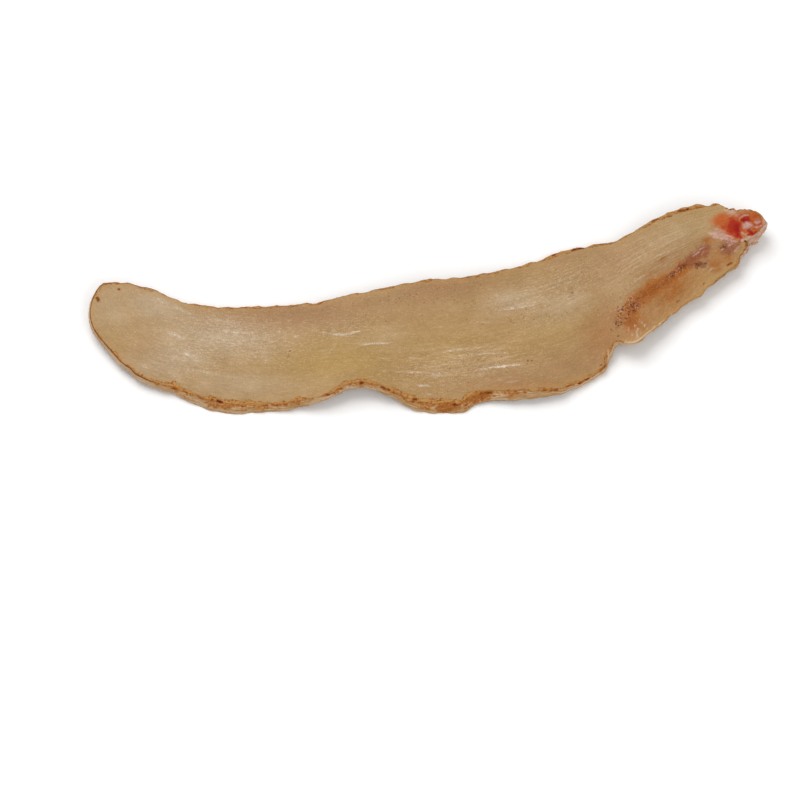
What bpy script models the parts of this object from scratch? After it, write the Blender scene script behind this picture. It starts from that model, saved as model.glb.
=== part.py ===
"""A dried gastrodia slice: one thin lengthwise slice of a tuber, with its rind and its bud.

Lengths are in millimetres until the mesh is made, in metres. X runs along the slice from its
round root end to its bud, Y runs across it, and Z is up from the surface that it lies on.
"""

import math
from typing import NamedTuple

import bpy
import numpy as np

MM = 0.001
NODE = "gastrodia_slice"

# Thickness of the slice in its dried middle, at its rind, and how far in from the rind it changes
FLESH_THICKNESS = 1.7
RIND_THICKNESS = 2.1
RIND_REACH = 3.0

# Columns run across the slice and rows run along it
COLUMNS = 120
ROWS = 21

# The edge facing -Y and the edge facing +Y, in pairs that one cross line of the grid joins
LOWER_EDGE = [
    (-66.5, -9.0), (-62.0, -14.0), (-57.5, -17.0), (-50.5, -19.6), (-44.5, -22.4), (-38.5, -23.1),
    (-32.0, -22.6), (-26.0, -22.0), (-21.5, -21.0), (-17.0, -19.2), (-13.0, -18.4), (-9.0, -19.5),
    (-5.0, -21.3), (-1.5, -22.6), (4.0, -23.0), (7.5, -22.6), (10.5, -21.0), (15.0, -20.6),
    (20.0, -20.6), (25.0, -19.7), (29.5, -18.1), (33.0, -15.9), (36.3, -13.6), (37.7, -11.2),
    (38.8, -8.5), (42.0, -8.6), (45.5, -6.0), (48.7, -3.0), (52.5, 0.4), (56.5, 3.5),
    (60.5, 6.8), (63.8, 9.7), (65.4, 11.8), (66.6, 14.3), (68.2, 15.0), (69.5, 16.4),
]
UPPER_EDGE = [
    (-67.0, 4.5), (-62.0, 4.5), (-57.5, 3.5), (-51.0, 1.0), (-44.0, 0.1), (-38.0, 0.2),
    (-32.0, 0.5), (-26.5, 0.5), (-22.0, 1.0), (-17.5, 2.0), (-13.5, 2.8), (-9.5, 3.5),
    (-5.5, 4.3), (-1.5, 5.0), (3.5, 5.4), (7.0, 5.9), (10.5, 6.6), (14.5, 7.8),
    (18.5, 9.0), (22.5, 10.6), (25.5, 12.0), (28.0, 13.0), (31.5, 13.6), (34.5, 14.4),
    (37.0, 14.5), (39.8, 15.1), (43.0, 16.8), (46.5, 18.7), (50.0, 20.3), (53.2, 21.6),
    (57.5, 22.0), (61.0, 22.3), (63.0, 21.3), (65.3, 20.7), (67.5, 20.4), (69.1, 19.6),
]
ROOT_END = [(-68.0, -7.0), (-69.2, -4.5), (-69.6, -1.5), (-68.4, 2.8)]
BUD_END = [(70.4, 18.0)]
ROOT_BLEND = 14.0
BUD_BLEND = 7.0

# How high the middle of the slice's thickness stands, along each edge and along the spine
LOWER_RISE = [
    (-70, 2.6), (-60, 2.0), (-50, 1.2), (-42, 0.7), (-34, 0.7), (-26, 1.7), (-20, 3.0), (-14, 3.6),
    (-9, 2.9), (-5, 1.7), (0, 0.8), (6, 0.8), (12, 1.6), (20, 2.4), (26, 2.2), (31, 1.1),
    (35, 0.7), (38, 2.0), (41, 3.6), (47, 3.3), (53, 2.5), (60, 2.7), (70, 3.0),
]
SPINE_RISE = [
    (-70, 3.2), (-55, 2.4), (-40, 2.3), (-18, 3.6), (2, 3.2), (20, 3.8), (36, 3.0), (52, 3.4),
    (70, 3.6),
]
UPPER_RISE = [
    (-70, 3.6), (-60, 3.0), (-50, 1.7), (-42, 0.8), (-34, 0.7), (-26, 1.4), (-12, 2.6),
    (0, 3.4), (8, 3.0), (16, 1.9), (23, 0.8), (30, 0.7), (37, 1.3), (45, 3.0), (52, 3.9),
    (60, 4.0), (70, 3.6),
]
EDGE_CURL = 2.2

# How far the rind leans out under the cut face along the lower edge, or in under it where negative
RIND_LEAN = [
    (-70, 0.25), (-58, 0.25), (-50, 0.8), (-45, 1.4), (-38, 1.4), (-32, 0.95), (-26, 0.65), (-21, 0.3),
    (-16, 0.3), (-11, 0.45), (-6, 0.75), (-2, 1.25), (7, 1.45), (12, 1.45), (19, 1.3), (23, 0.85),
    (27, 0.4), (31, 0.25), (35, 0.0), (37.5, 0.4), (39, 0.0), (41.5, -0.8), (47, -0.75), (61, -0.75),
    (65, -0.35), (70, 0.2),
]
RIND_BULGE = 0.3

# The line that the fibres follow, and the half width that they are gathered into along it
SPINE = [
    (-69.5, 1.0), (-57.0, -6.0), (-36.5, -10.5), (-18.0, -9.5), (0.5, -9.0), (15.0, -7.0),
    (27.0, -3.5), (35.5, 1.5), (44.0, 7.5), (52.5, 12.5), (61.0, 16.5), (70.5, 19.0),
]
HALF_WIDTH = [(-70, 9.0), (-40, 12.5), (20, 13.5), (34, 12.0), (46, 9.0), (60, 6.5), (71, 4.0)]
SPINE_STEPS = 400

SHARP_ANGLE = math.radians(50)


class Wave(NamedTuple):
    """One sine of a sum: its height, its length along the slice and across it, and its start."""

    height: float
    along: float
    across: float
    start: float


class Lump(NamedTuple):
    """A round swelling, or a hollow where the height is negative."""

    x: float
    y: float
    reach: float
    height: float


# Long ridges left where the fibres stand proud of the shrunken flesh. Across is in half widths
TOP_RIDGES = [
    Wave(0.08, 61.0, 0.43, 0.6), Wave(0.055, 47.0, 0.29, 2.1), Wave(0.04, 33.0, 0.19, 4.0),
    Wave(0.09, 23.0, 1.70, 1.1),
]
UNDER_RIDGES = [
    Wave(0.08, 57.0, 0.47, 3.6), Wave(0.055, 41.0, 0.31, 0.4), Wave(0.04, 29.0, 0.21, 5.1),
    Wave(0.10, 27.0, 1.50, 2.7),
]
RIDGE_WANDER = 1.7
RIDGE_LOSS_AT_RIND = 0.7
# Small scallops of the edge by distance along it: height, length and start of each sine
EDGE_WAVES = [(0.08, 9.7, 0.4), (0.07, 5.3, 2.2), (0.06, 3.4, 4.1)]
RAGGED_FROM = 48.0
RAGGED_OVER = 8.0
RAGGED_GAIN = 2.0
CALM_AT_ENDS = 4.0
EDGE_SHARE = 6

# The bud: a swollen knob with a raised lip round its outer side and small scales inside it
KNOB = Lump(66.8, 18.0, 4.2, 1.0)
LIP_CENTRE = (67.3, 18.0)
LIP_RADIUS = 2.5
LIP_WIDTH = 0.75
LIP_HEIGHT = 0.75
LIP_AT_TOP = 0.6
BUD_SCALES = [
    Lump(66.4, 18.2, 0.9, 0.55), Lump(65.9, 20.0, 0.8, 0.45), Lump(67.4, 16.7, 0.8, 0.45),
    Lump(68.2, 19.6, 0.8, 0.35), Lump(64.2, 20.4, 0.9, 0.3), Lump(62.4, 17.4, 2.0, 0.25),
]
# Rind that stands up beside the notch, the sunken stained band and the crust on the neck's edge
FACE_LUMPS = [
    Lump(37.6, -11.0, 1.6, 0.45), Lump(38.4, -8.9, 1.3, 0.45), Lump(43.5, -6.9, 1.5, 0.3),
    Lump(39.9, -6.0, 2.4, -0.35), Lump(42.4, -0.5, 2.8, -0.3), Lump(47.0, 4.3, 2.6, -0.25),
    Lump(52.2, 7.2, 2.4, 0.25), Lump(56.3, 10.6, 2.6, -0.25), Lump(61.6, 12.8, 2.0, 0.3),
    Lump(-15.6, -15.8, 2.4, 0.35), Lump(-30.0, -12.0, 9.0, -0.3), Lump(8.0, 0.0, 8.0, 0.3),
    Lump(22.0, -12.0, 8.0, -0.3), Lump(-55.0, -4.0, 7.0, 0.25),
]
UNDER_LUMPS = [
    Lump(66.8, 18.0, 3.8, 1.0), Lump(64.0, 16.5, 1.6, 0.3), Lump(68.0, 19.8, 1.2, 0.3),
    Lump(-20.0, -8.0, 8.0, -0.25), Lump(14.0, -6.0, 9.0, -0.25),
]


def smooth(knots, values, at):
    """A smooth curve through values at knots, read at the given places."""
    knots = np.asarray(knots, float)
    values = np.asarray(values, float)
    rates = np.diff(values, axis=0) / np.diff(knots).reshape((-1,) + (1,) * (values.ndim - 1))
    tangents = np.concatenate([rates[:1], (rates[1:] + rates[:-1]) / 2, rates[-1:]])
    at = np.clip(np.asarray(at, float), knots[0], knots[-1])
    i = np.clip(np.searchsorted(knots, at, side="right") - 1, 0, len(knots) - 2)
    span = knots[i + 1] - knots[i]
    u = (at - knots[i]) / span
    if values.ndim > 1:
        u, span = u[..., None], span[..., None]
    return (
        (1 + 2 * u) * (1 - u) ** 2 * values[i]
        + u * (1 - u) ** 2 * span * tangents[i]
        + u**2 * (3 - 2 * u) * values[i + 1]
        - u**2 * (1 - u) * span * tangents[i + 1]
    )


def along_x(table, x):
    """A height or width given at a few X positions, read smoothly at any X."""
    knots, values = zip(*table)
    return smooth(knots, values, x)


def chord_knots(*curves):
    """Knots for curves whose points go in step, spaced by their mean chord length."""
    steps = [np.linalg.norm(np.diff(np.asarray(c, float), axis=0), axis=1) for c in curves]
    return np.concatenate([[0.0], np.cumsum(np.mean(steps, axis=0))])


def row_positions():
    """Where each row stands across the slice, 0 at the lower edge and 1 at the upper, closer near both."""
    even = np.linspace(0.0, 1.0, ROWS + 1)
    crowded = 0.5 - 0.5 * np.cos(math.pi * even)
    return 0.5 * even + 0.5 * crowded


def edge_wobble(curve):
    """How far the edge swells out at each of its points, by distance along it."""
    run = np.concatenate([[0.0], np.cumsum(np.linalg.norm(np.diff(curve, axis=0), axis=1))])
    swell = sum(size * np.sin(2 * math.pi * run / length + start) for size, length, start in EDGE_WAVES)
    ragged = 1 + (RAGGED_GAIN - 1) * np.clip((curve[:, 0] - RAGGED_FROM) / RAGGED_OVER, 0, 1)
    at_ends = np.clip(np.minimum(run, run[-1] - run) / CALM_AT_ENDS, 0, 1)
    return swell * ragged * at_ends


def outward(curve, side):
    """Unit vectors that point away from the slice along one edge; side is -1 on the lower edge."""
    tangent = np.gradient(curve, axis=0)
    tangent /= np.linalg.norm(tangent, axis=1)[:, None]
    return side * np.stack([-tangent[:, 1], tangent[:, 0]], axis=1)


def end_bulge(corner_a, between, corner_b, t):
    """How far a rounded end stands out of the straight line between its two corners."""
    points = np.array([corner_a, *between, corner_b], float)
    knots = chord_knots(points)
    on_curve = smooth(knots / knots[-1], points, t)
    return on_curve - (points[0] + t[:, None] * (points[-1] - points[0]))


def plan(face):
    """X and Y of the grid's points, on the top face (face 1) or the underside (face -1)."""
    knots = chord_knots(LOWER_EDGE, UPPER_EDGE)
    at = np.linspace(0.0, knots[-1], COLUMNS + 1)
    lower, upper = smooth(knots, LOWER_EDGE, at), smooth(knots, UPPER_EDGE, at)
    t = row_positions()
    grid = lower[:, None] + t[None, :, None] * (upper - lower)[:, None]
    near_root = np.clip(1 - at / ROOT_BLEND, 0, 1) ** 2
    near_bud = np.clip(1 - (knots[-1] - at) / BUD_BLEND, 0, 1) ** 2
    grid += near_root[:, None, None] * end_bulge(LOWER_EDGE[0], ROOT_END, UPPER_EDGE[0], t)[None]
    grid += near_bud[:, None, None] * end_bulge(LOWER_EDGE[-1], BUD_END, UPPER_EDGE[-1], t)[None]
    lean = along_x(RIND_LEAN, lower[:, 0]) if face > 0 else np.zeros(len(lower))
    push_lower = (edge_wobble(lower) - lean)[:, None] * outward(lower, -1)
    push_upper = edge_wobble(upper)[:, None] * outward(upper, 1)
    grid += ((1 - t) ** EDGE_SHARE)[None, :, None] * push_lower[:, None]
    grid += (t**EDGE_SHARE)[None, :, None] * push_upper[:, None]
    return grid


def fibre_place(xy):
    """Distance along the spine, and distance across it in half widths, of each point."""
    knots = chord_knots(SPINE)
    run = np.linspace(0.0, knots[-1], SPINE_STEPS)
    line = smooth(knots, SPINE, run)
    tangent = np.gradient(line, axis=0)
    tangent /= np.linalg.norm(tangent, axis=1)[:, None]
    away = xy[..., None, :] - line
    nearest = np.argmin((away**2).sum(-1), axis=-1)
    offset = np.take_along_axis(away, nearest[..., None, None], axis=-2)[..., 0, :]
    direction = tangent[nearest]
    signed = direction[..., 0] * offset[..., 1] - direction[..., 1] * offset[..., 0]
    return run[nearest], signed / along_x(HALF_WIDTH, line[nearest, 0])


def ridges(waves, along, across):
    """Height of the long ridges, which wander a little from side to side, at a place in the fibres."""
    height = 0.0
    for wave in waves:
        wander = RIDGE_WANDER * np.sin(2 * math.pi * along / wave.along + wave.start)
        height = height + wave.height * np.sin(2 * math.pi * across / wave.across + wander)
    return height


def lumps(found, xy):
    """Summed height of round swellings and hollows."""
    return sum(
        lump.height * np.exp(-((xy[..., 0] - lump.x) ** 2 + (xy[..., 1] - lump.y) ** 2) / lump.reach**2)
        for lump in found
    )


def bud_lip(xy):
    """Height of the lip round the knob's outer side, fading towards the neck."""
    away = xy - np.array(LIP_CENTRE)
    radius = np.linalg.norm(away, axis=-1)
    outer_side = np.clip(LIP_AT_TOP + away[..., 0] / LIP_RADIUS, 0, 1)
    return LIP_HEIGHT * outer_side * np.exp(-(((radius - LIP_RADIUS) / LIP_WIDTH) ** 2))


def edge_distance(grid, t):
    """Roughly how far each point is from the nearer long edge."""
    width = np.linalg.norm(grid[:, -1] - grid[:, 0], axis=1)[:, None]
    return np.minimum(t, 1 - t)[None] * width


def middle_height(xy, t):
    """Height of the middle of the slice's thickness."""
    x = xy[..., 0]
    spine = along_x(SPINE_RISE, x)
    to_lower = (along_x(LOWER_RISE, x) - spine) * (1 - t) ** EDGE_CURL
    to_upper = (along_x(UPPER_RISE, x) - spine) * t**EDGE_CURL
    return spine + to_lower + to_upper


def face_points(face):
    """The points of the top face (1) or the underside (-1), with heights."""
    xy = plan(face)
    t = row_positions()
    along, across = fibre_place(xy)
    at_rind = np.exp(-((edge_distance(xy, t) / RIND_REACH) ** 2))
    half = (FLESH_THICKNESS + (RIND_THICKNESS - FLESH_THICKNESS) * at_rind) / 2
    inner = 1 - RIDGE_LOSS_AT_RIND * at_rind
    if face > 0:
        relief = ridges(TOP_RIDGES, along, across) * inner + lumps([KNOB, *BUD_SCALES, *FACE_LUMPS], xy)
        height = middle_height(xy, t) + half + relief + bud_lip(xy)
    else:
        relief = ridges(UNDER_RIDGES, along, across) * inner + lumps(UNDER_LUMPS, xy)
        height = np.maximum(middle_height(xy, t) - half - relief, 0.0)
    return np.concatenate([xy, height[..., None]], axis=-1)


def border(columns, rows):
    """The grid places round the slice, anticlockwise from the lower edge's root end."""
    lower = [(i, 0) for i in range(columns)]
    bud = [(columns, j) for j in range(rows)]
    upper = [(i, rows) for i in range(columns, 0, -1)]
    root = [(0, j) for j in range(rows, 0, -1)]
    return lower + bud + upper + root


def rind_loop(top, under, places):
    """The rind half way down, a little fuller than both edges."""
    edge = np.array([(top[i, j] + under[i, j]) / 2 for i, j in places])
    tangent = np.roll(edge, -1, axis=0) - np.roll(edge, 1, axis=0)
    tangent /= np.linalg.norm(tangent[:, :2], axis=1)[:, None]
    edge[:, 0] += RIND_BULGE * tangent[:, 1]
    edge[:, 1] -= RIND_BULGE * tangent[:, 0]
    return edge


def cell_triangles(i, j, at):
    """Two triangles of one cell, their shared side pointing at the nearer corner of the grid."""
    a, b, c, d = at(i, j), at(i + 1, j), at(i + 1, j + 1), at(i, j + 1)
    to_corner = (i < COLUMNS / 2) == (j < ROWS / 2)
    return [(a, b, c), (a, c, d)] if to_corner else [(a, b, d), (b, c, d)]


def slice_mesh():
    """Both faces split into triangles alike, joined round the border by two strips of rind."""
    top, under = face_points(1), face_points(-1)
    places = border(COLUMNS, ROWS)
    middle = rind_loop(top, under, places)
    points = np.concatenate([top.reshape(-1, 3), under.reshape(-1, 3), middle])
    count = (COLUMNS + 1) * (ROWS + 1)

    def on_top(i, j):
        return i * (ROWS + 1) + j

    faces = []
    for i in range(COLUMNS):
        for j in range(ROWS):
            for a, b, c in cell_triangles(i, j, on_top):
                faces += [(a, b, c), (count + a, count + c, count + b)]
    for k, place in enumerate(places):
        k_next = (k + 1) % len(places)
        high, high_next = on_top(*place), on_top(*places[k_next])
        mid, mid_next = 2 * count + k, 2 * count + k_next
        low, low_next = count + high, count + high_next
        faces += [(high, mid, mid_next), (high, mid_next, high_next)]
        faces += [(mid, low, low_next), (mid, low_next, mid_next)]
    return points, faces


def centred(points):
    """The points with their box centred on the origin, standing on Z = 0."""
    low, high = points.min(axis=0), points.max(axis=0)
    shift = -(low + high) / 2
    shift[2] = -low[2]
    return points + shift


def flesh_material():
    """Dried, horny, slightly translucent flesh."""
    material = bpy.data.materials.new("dried_flesh")
    material.use_nodes = True
    shader = material.node_tree.nodes["Principled BSDF"]
    shader.inputs["Base Color"].default_value = (0.47, 0.31, 0.14, 1.0)
    shader.inputs["Roughness"].default_value = 0.45
    shader.inputs["Metallic"].default_value = 0.0
    return material


def build_slice():
    """The slice as one closed object."""
    points, faces = slice_mesh()
    mesh = bpy.data.meshes.new(NODE)
    mesh.from_pydata((centred(points) * MM).tolist(), [], faces)
    mesh.shade_smooth()
    mesh.set_sharp_from_angle(angle=SHARP_ANGLE)
    mesh.materials.append(flesh_material())
    piece = bpy.data.objects.new(NODE, mesh)
    bpy.context.scene.collection.objects.link(piece)
    return piece


def clear_scene():
    """Remove what the start-up file holds."""
    for thing in list(bpy.data.objects):
        bpy.data.objects.remove(thing, do_unlink=True)


clear_scene()
build_slice()
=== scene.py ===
"""The looks of one dried gastrodia slice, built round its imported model.

The slice is rebuilt on a fine grid from the same outline and rises as its solid, then given
striations, wrinkled rind, a crusted bud and the colours of horny dried flesh. Forms are worked
out in millimetres and turned into metres when a mesh is made.
"""

import logging
import math
from dataclasses import dataclass, field
from enum import Enum, IntEnum
from typing import Any, ClassVar, Mapping, NamedTuple, Sequence

import bpy
import numpy as np
from mathutils import Color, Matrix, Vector


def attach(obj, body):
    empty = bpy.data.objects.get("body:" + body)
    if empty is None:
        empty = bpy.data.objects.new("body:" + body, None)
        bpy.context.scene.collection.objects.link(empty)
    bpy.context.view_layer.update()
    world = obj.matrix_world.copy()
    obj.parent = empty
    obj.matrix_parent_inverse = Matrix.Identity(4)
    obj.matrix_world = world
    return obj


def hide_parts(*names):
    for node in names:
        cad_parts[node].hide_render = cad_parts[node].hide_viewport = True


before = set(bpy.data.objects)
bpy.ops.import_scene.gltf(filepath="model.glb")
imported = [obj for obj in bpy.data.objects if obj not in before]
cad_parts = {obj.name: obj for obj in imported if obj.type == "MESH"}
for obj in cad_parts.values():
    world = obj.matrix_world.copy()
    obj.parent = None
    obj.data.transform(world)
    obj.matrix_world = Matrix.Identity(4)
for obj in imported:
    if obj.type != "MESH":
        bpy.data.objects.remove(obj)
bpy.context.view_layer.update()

MM = 0.001
NODE = "gastrodia_slice"
BODY = "root"
FULL_TURN = 2 * math.pi
TINY = 1e-9
SEARCH_PARTS = 96

log = logging.getLogger("gastrodia")

Array = np.ndarray
Span = tuple[float, float]
Pairs = tuple[Span, ...]
Colour = tuple[float, float, float]


class Face(IntEnum):
    """Which of the slice's two cut faces."""

    UNDER = -1
    TOP = 1


class Side(IntEnum):
    """Which long edge, by the way that it faces along Y."""

    LOWER = -1
    UPPER = 1


class Wave(NamedTuple):
    """One sine of a sum: its height, its length along the slice and across it, and its start."""

    height: float
    along: float
    across: float
    start: float


class Lump(NamedTuple):
    """A round swelling, or a hollow where the height is negative."""

    x: float
    y: float
    reach: float
    height: float


@dataclass(frozen=True)
class Streak:
    """A mark along a straight line, with soft sides and round ends."""

    x0: float
    y0: float
    x1: float
    y1: float
    width: float
    strength: float

    def at(self, xy: Array) -> Array:
        """How strongly it marks each point.

        Args:
            xy: points in plan.

        Returns:
            One number for each point.
        """
        start, way = np.array([self.x0, self.y0]), np.array([self.x1 - self.x0, self.y1 - self.y0])
        u = np.clip(((xy - start) @ way) / max(float(way @ way), TINY), 0, 1)
        away = np.linalg.norm(xy - start - u[..., None] * way, axis=-1)
        return self.strength * np.exp(-((away / self.width) ** 2))


@dataclass(frozen=True)
class Spindle(Streak):
    """A streak that thins out towards both ends."""

    half_share: ClassVar[float] = 0.55

    def at(self, xy: Array) -> Array:
        """How strongly it marks each point.

        Args:
            xy: points in plan.

        Returns:
            One number for each point.
        """
        way = np.array([self.x1 - self.x0, self.y1 - self.y0])
        length = float(np.linalg.norm(way))
        way /= length
        off = xy - np.array([self.x0 + self.x1, self.y0 + self.y1]) / 2
        u = off @ way / (self.half_share * length)
        v = (off[..., 0] * way[1] - off[..., 1] * way[0]) / self.width
        return self.strength * np.exp(-(u**4 + v**2))


@dataclass(frozen=True)
class Patch:
    """A soft oval mark."""

    x: float
    y: float
    long: float
    wide: float
    turn: float
    strength: float

    def at(self, xy: Array) -> Array:
        """How strongly it marks each point.

        Args:
            xy: points in plan.

        Returns:
            One number for each point.
        """
        dx, dy = xy[..., 0] - self.x, xy[..., 1] - self.y
        u = (dx * math.cos(self.turn) + dy * math.sin(self.turn)) / self.long
        v = (-dx * math.sin(self.turn) + dy * math.cos(self.turn)) / self.wide
        return self.strength * np.exp(-(u**2 + v**2))


Marks = tuple[Streak | Patch, ...]


def each(kind: type[Streak] | type[Patch], *rows: tuple[float, ...]) -> Marks:
    """One mark of a kind for each row of its fields, in their order."""
    return tuple(kind(*map(float, row)) for row in rows)


def marked(found: Marks, xy: Array) -> Array:
    """How strongly the strongest of some marks shows at each point, from 0 to 1."""
    return np.max([mark.at(xy) for mark in found], axis=0)


def smooth(knots: Array, values: Any, at: Array) -> Array:
    """A smooth curve through values at knots.

    Args:
        knots: rising places of the values.
        values: one number or one point for each knot.
        at: the places to read.

    Returns:
        The value or point at each place.
    """
    knots = np.asarray(knots, float)
    values = np.asarray(values, float)
    rates = np.diff(values, axis=0) / np.diff(knots).reshape((-1,) + (1,) * (values.ndim - 1))
    tangents = np.concatenate([rates[:1], (rates[1:] + rates[:-1]) / 2, rates[-1:]])
    at = np.clip(np.asarray(at, float), knots[0], knots[-1])
    i = np.clip(np.searchsorted(knots, at, side="right") - 1, 0, len(knots) - 2)
    span = knots[i + 1] - knots[i]
    u = (at - knots[i]) / span
    if values.ndim > 1:
        u, span = u[..., None], span[..., None]
    return (
        (1 + 2 * u) * (1 - u) ** 2 * values[i]
        + u * (1 - u) ** 2 * span * tangents[i]
        + u**2 * (3 - 2 * u) * values[i + 1]
        - u**2 * (1 - u) * span * tangents[i + 1]
    )


def along_x(table: Pairs, x: Array) -> Array:
    """A height or width given at a few X positions, read smoothly at any X."""
    knots, values = zip(*table)
    return smooth(np.array(knots), values, x)


def chord_knots(*curves: Any) -> Array:
    """Knots for curves whose points go in step, spaced by their mean chord length."""
    steps = [np.linalg.norm(np.diff(np.asarray(c, float), axis=0), axis=1) for c in curves]
    return np.concatenate([[0.0], np.cumsum(np.mean(steps, axis=0))])


def run_of(curve: Array) -> Array:
    """Distance along a curve at each of its points."""
    return np.concatenate([[0.0], np.cumsum(np.linalg.norm(np.diff(curve, axis=0), axis=1))])


def fade(value: Array, start: float, end: float) -> Array:
    """A soft step from 0 at start to 1 at end."""
    u = np.clip((value - start) / (end - start), 0, 1)
    return u * u * (3 - 2 * u)


def nearest(points: Array, line: Array) -> Array:
    """Which of a line's points lies nearest to each point, searched in parts to save memory.

    Args:
        points: rows of X and Y.
        line: rows of X and Y to choose from.

    Returns:
        A row number of the line for each point.
    """
    parts = np.array_split(points, SEARCH_PARTS)
    return np.concatenate([((part[:, None] - line) ** 2).sum(-1).argmin(axis=1) for part in parts])


def gap_to(points: Array, border: Array) -> Array:
    """Distance in plan from each point to the nearest stretch of a closed border.

    Args:
        points: rows that start with X and Y.
        border: the border's points in order, as such rows.

    Returns:
        One distance for each point.
    """
    flat, start = points[:, :2], border[:, :2]
    way = np.roll(start, -1, axis=0) - start
    closest = nearest(flat, start)
    stretches = np.stack([closest, closest - 1])
    away, along = flat - start[stretches], way[stretches]
    u = np.clip((away * along).sum(-1) / np.maximum((along**2).sum(-1), TINY), 0, 1)
    return np.linalg.norm(away - u[..., None] * along, axis=-1).min(axis=0)


@dataclass(frozen=True)
class Noise:
    """Smooth seeded noise on a plane, about -1 to 1, in layers that grow finer and weaker."""

    seed: int
    lumps_x: float = 1.0
    lumps_y: float = 1.0
    layers: int = 3
    size: int = 256
    shift: Span = (7.3, -3.1)

    def at(self, x: Array, y: Array | float, extra: int = 0) -> Array:
        """The noise at some places.

        Args:
            x: first coordinate.
            y: second coordinate.
            extra: added to the seed, for a noise of its own with the same grain.

        Returns:
            The summed layers at each place.
        """
        table = np.random.default_rng(self.seed + extra).uniform(-1, 1, (self.size, self.size))
        x, y = x * self.lumps_x, y * self.lumps_y
        return sum(
            self.layer(table, x * 2.0**k + self.shift[0] * k, y * 2.0**k + self.shift[1] * k) / 2.0**k
            for k in range(self.layers)
        )

    def layer(self, table: Array, x: Array, y: Array) -> Array:
        """One layer, whose lumps are about one unit across.

        Args:
            table: random numbers at whole places, which repeat beyond its size.
            x: first coordinate.
            y: second coordinate.

        Returns:
            The numbers of the table, run smoothly into one another.
        """
        i, j = np.floor(x).astype(int), np.floor(y).astype(int)
        u, v = fade(x - i, 0.0, 1.0), fade(y - j, 0.0, 1.0)
        i0, i1, j0, j1 = i % self.size, (i + 1) % self.size, j % self.size, (j + 1) % self.size
        near = table[i0, j0] * (1 - v) + table[i0, j1] * v
        far = table[i1, j0] * (1 - v) + table[i1, j1] * v
        return near * (1 - u) + far * u


WARP = Noise(31, 0.9, 0.9)


def warped(xy: Array, by: float) -> Array:
    """Points pushed about by seeded noise, so that what is read there has wandering outlines.

    Args:
        xy: points in plan.
        by: how far they are pushed, in millimetres.

    Returns:
        The moved points.
    """
    x, y = xy[..., 0], xy[..., 1]
    return xy + by * np.stack([WARP.at(x, y), WARP.at(x, y, 1)], axis=-1)


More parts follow.
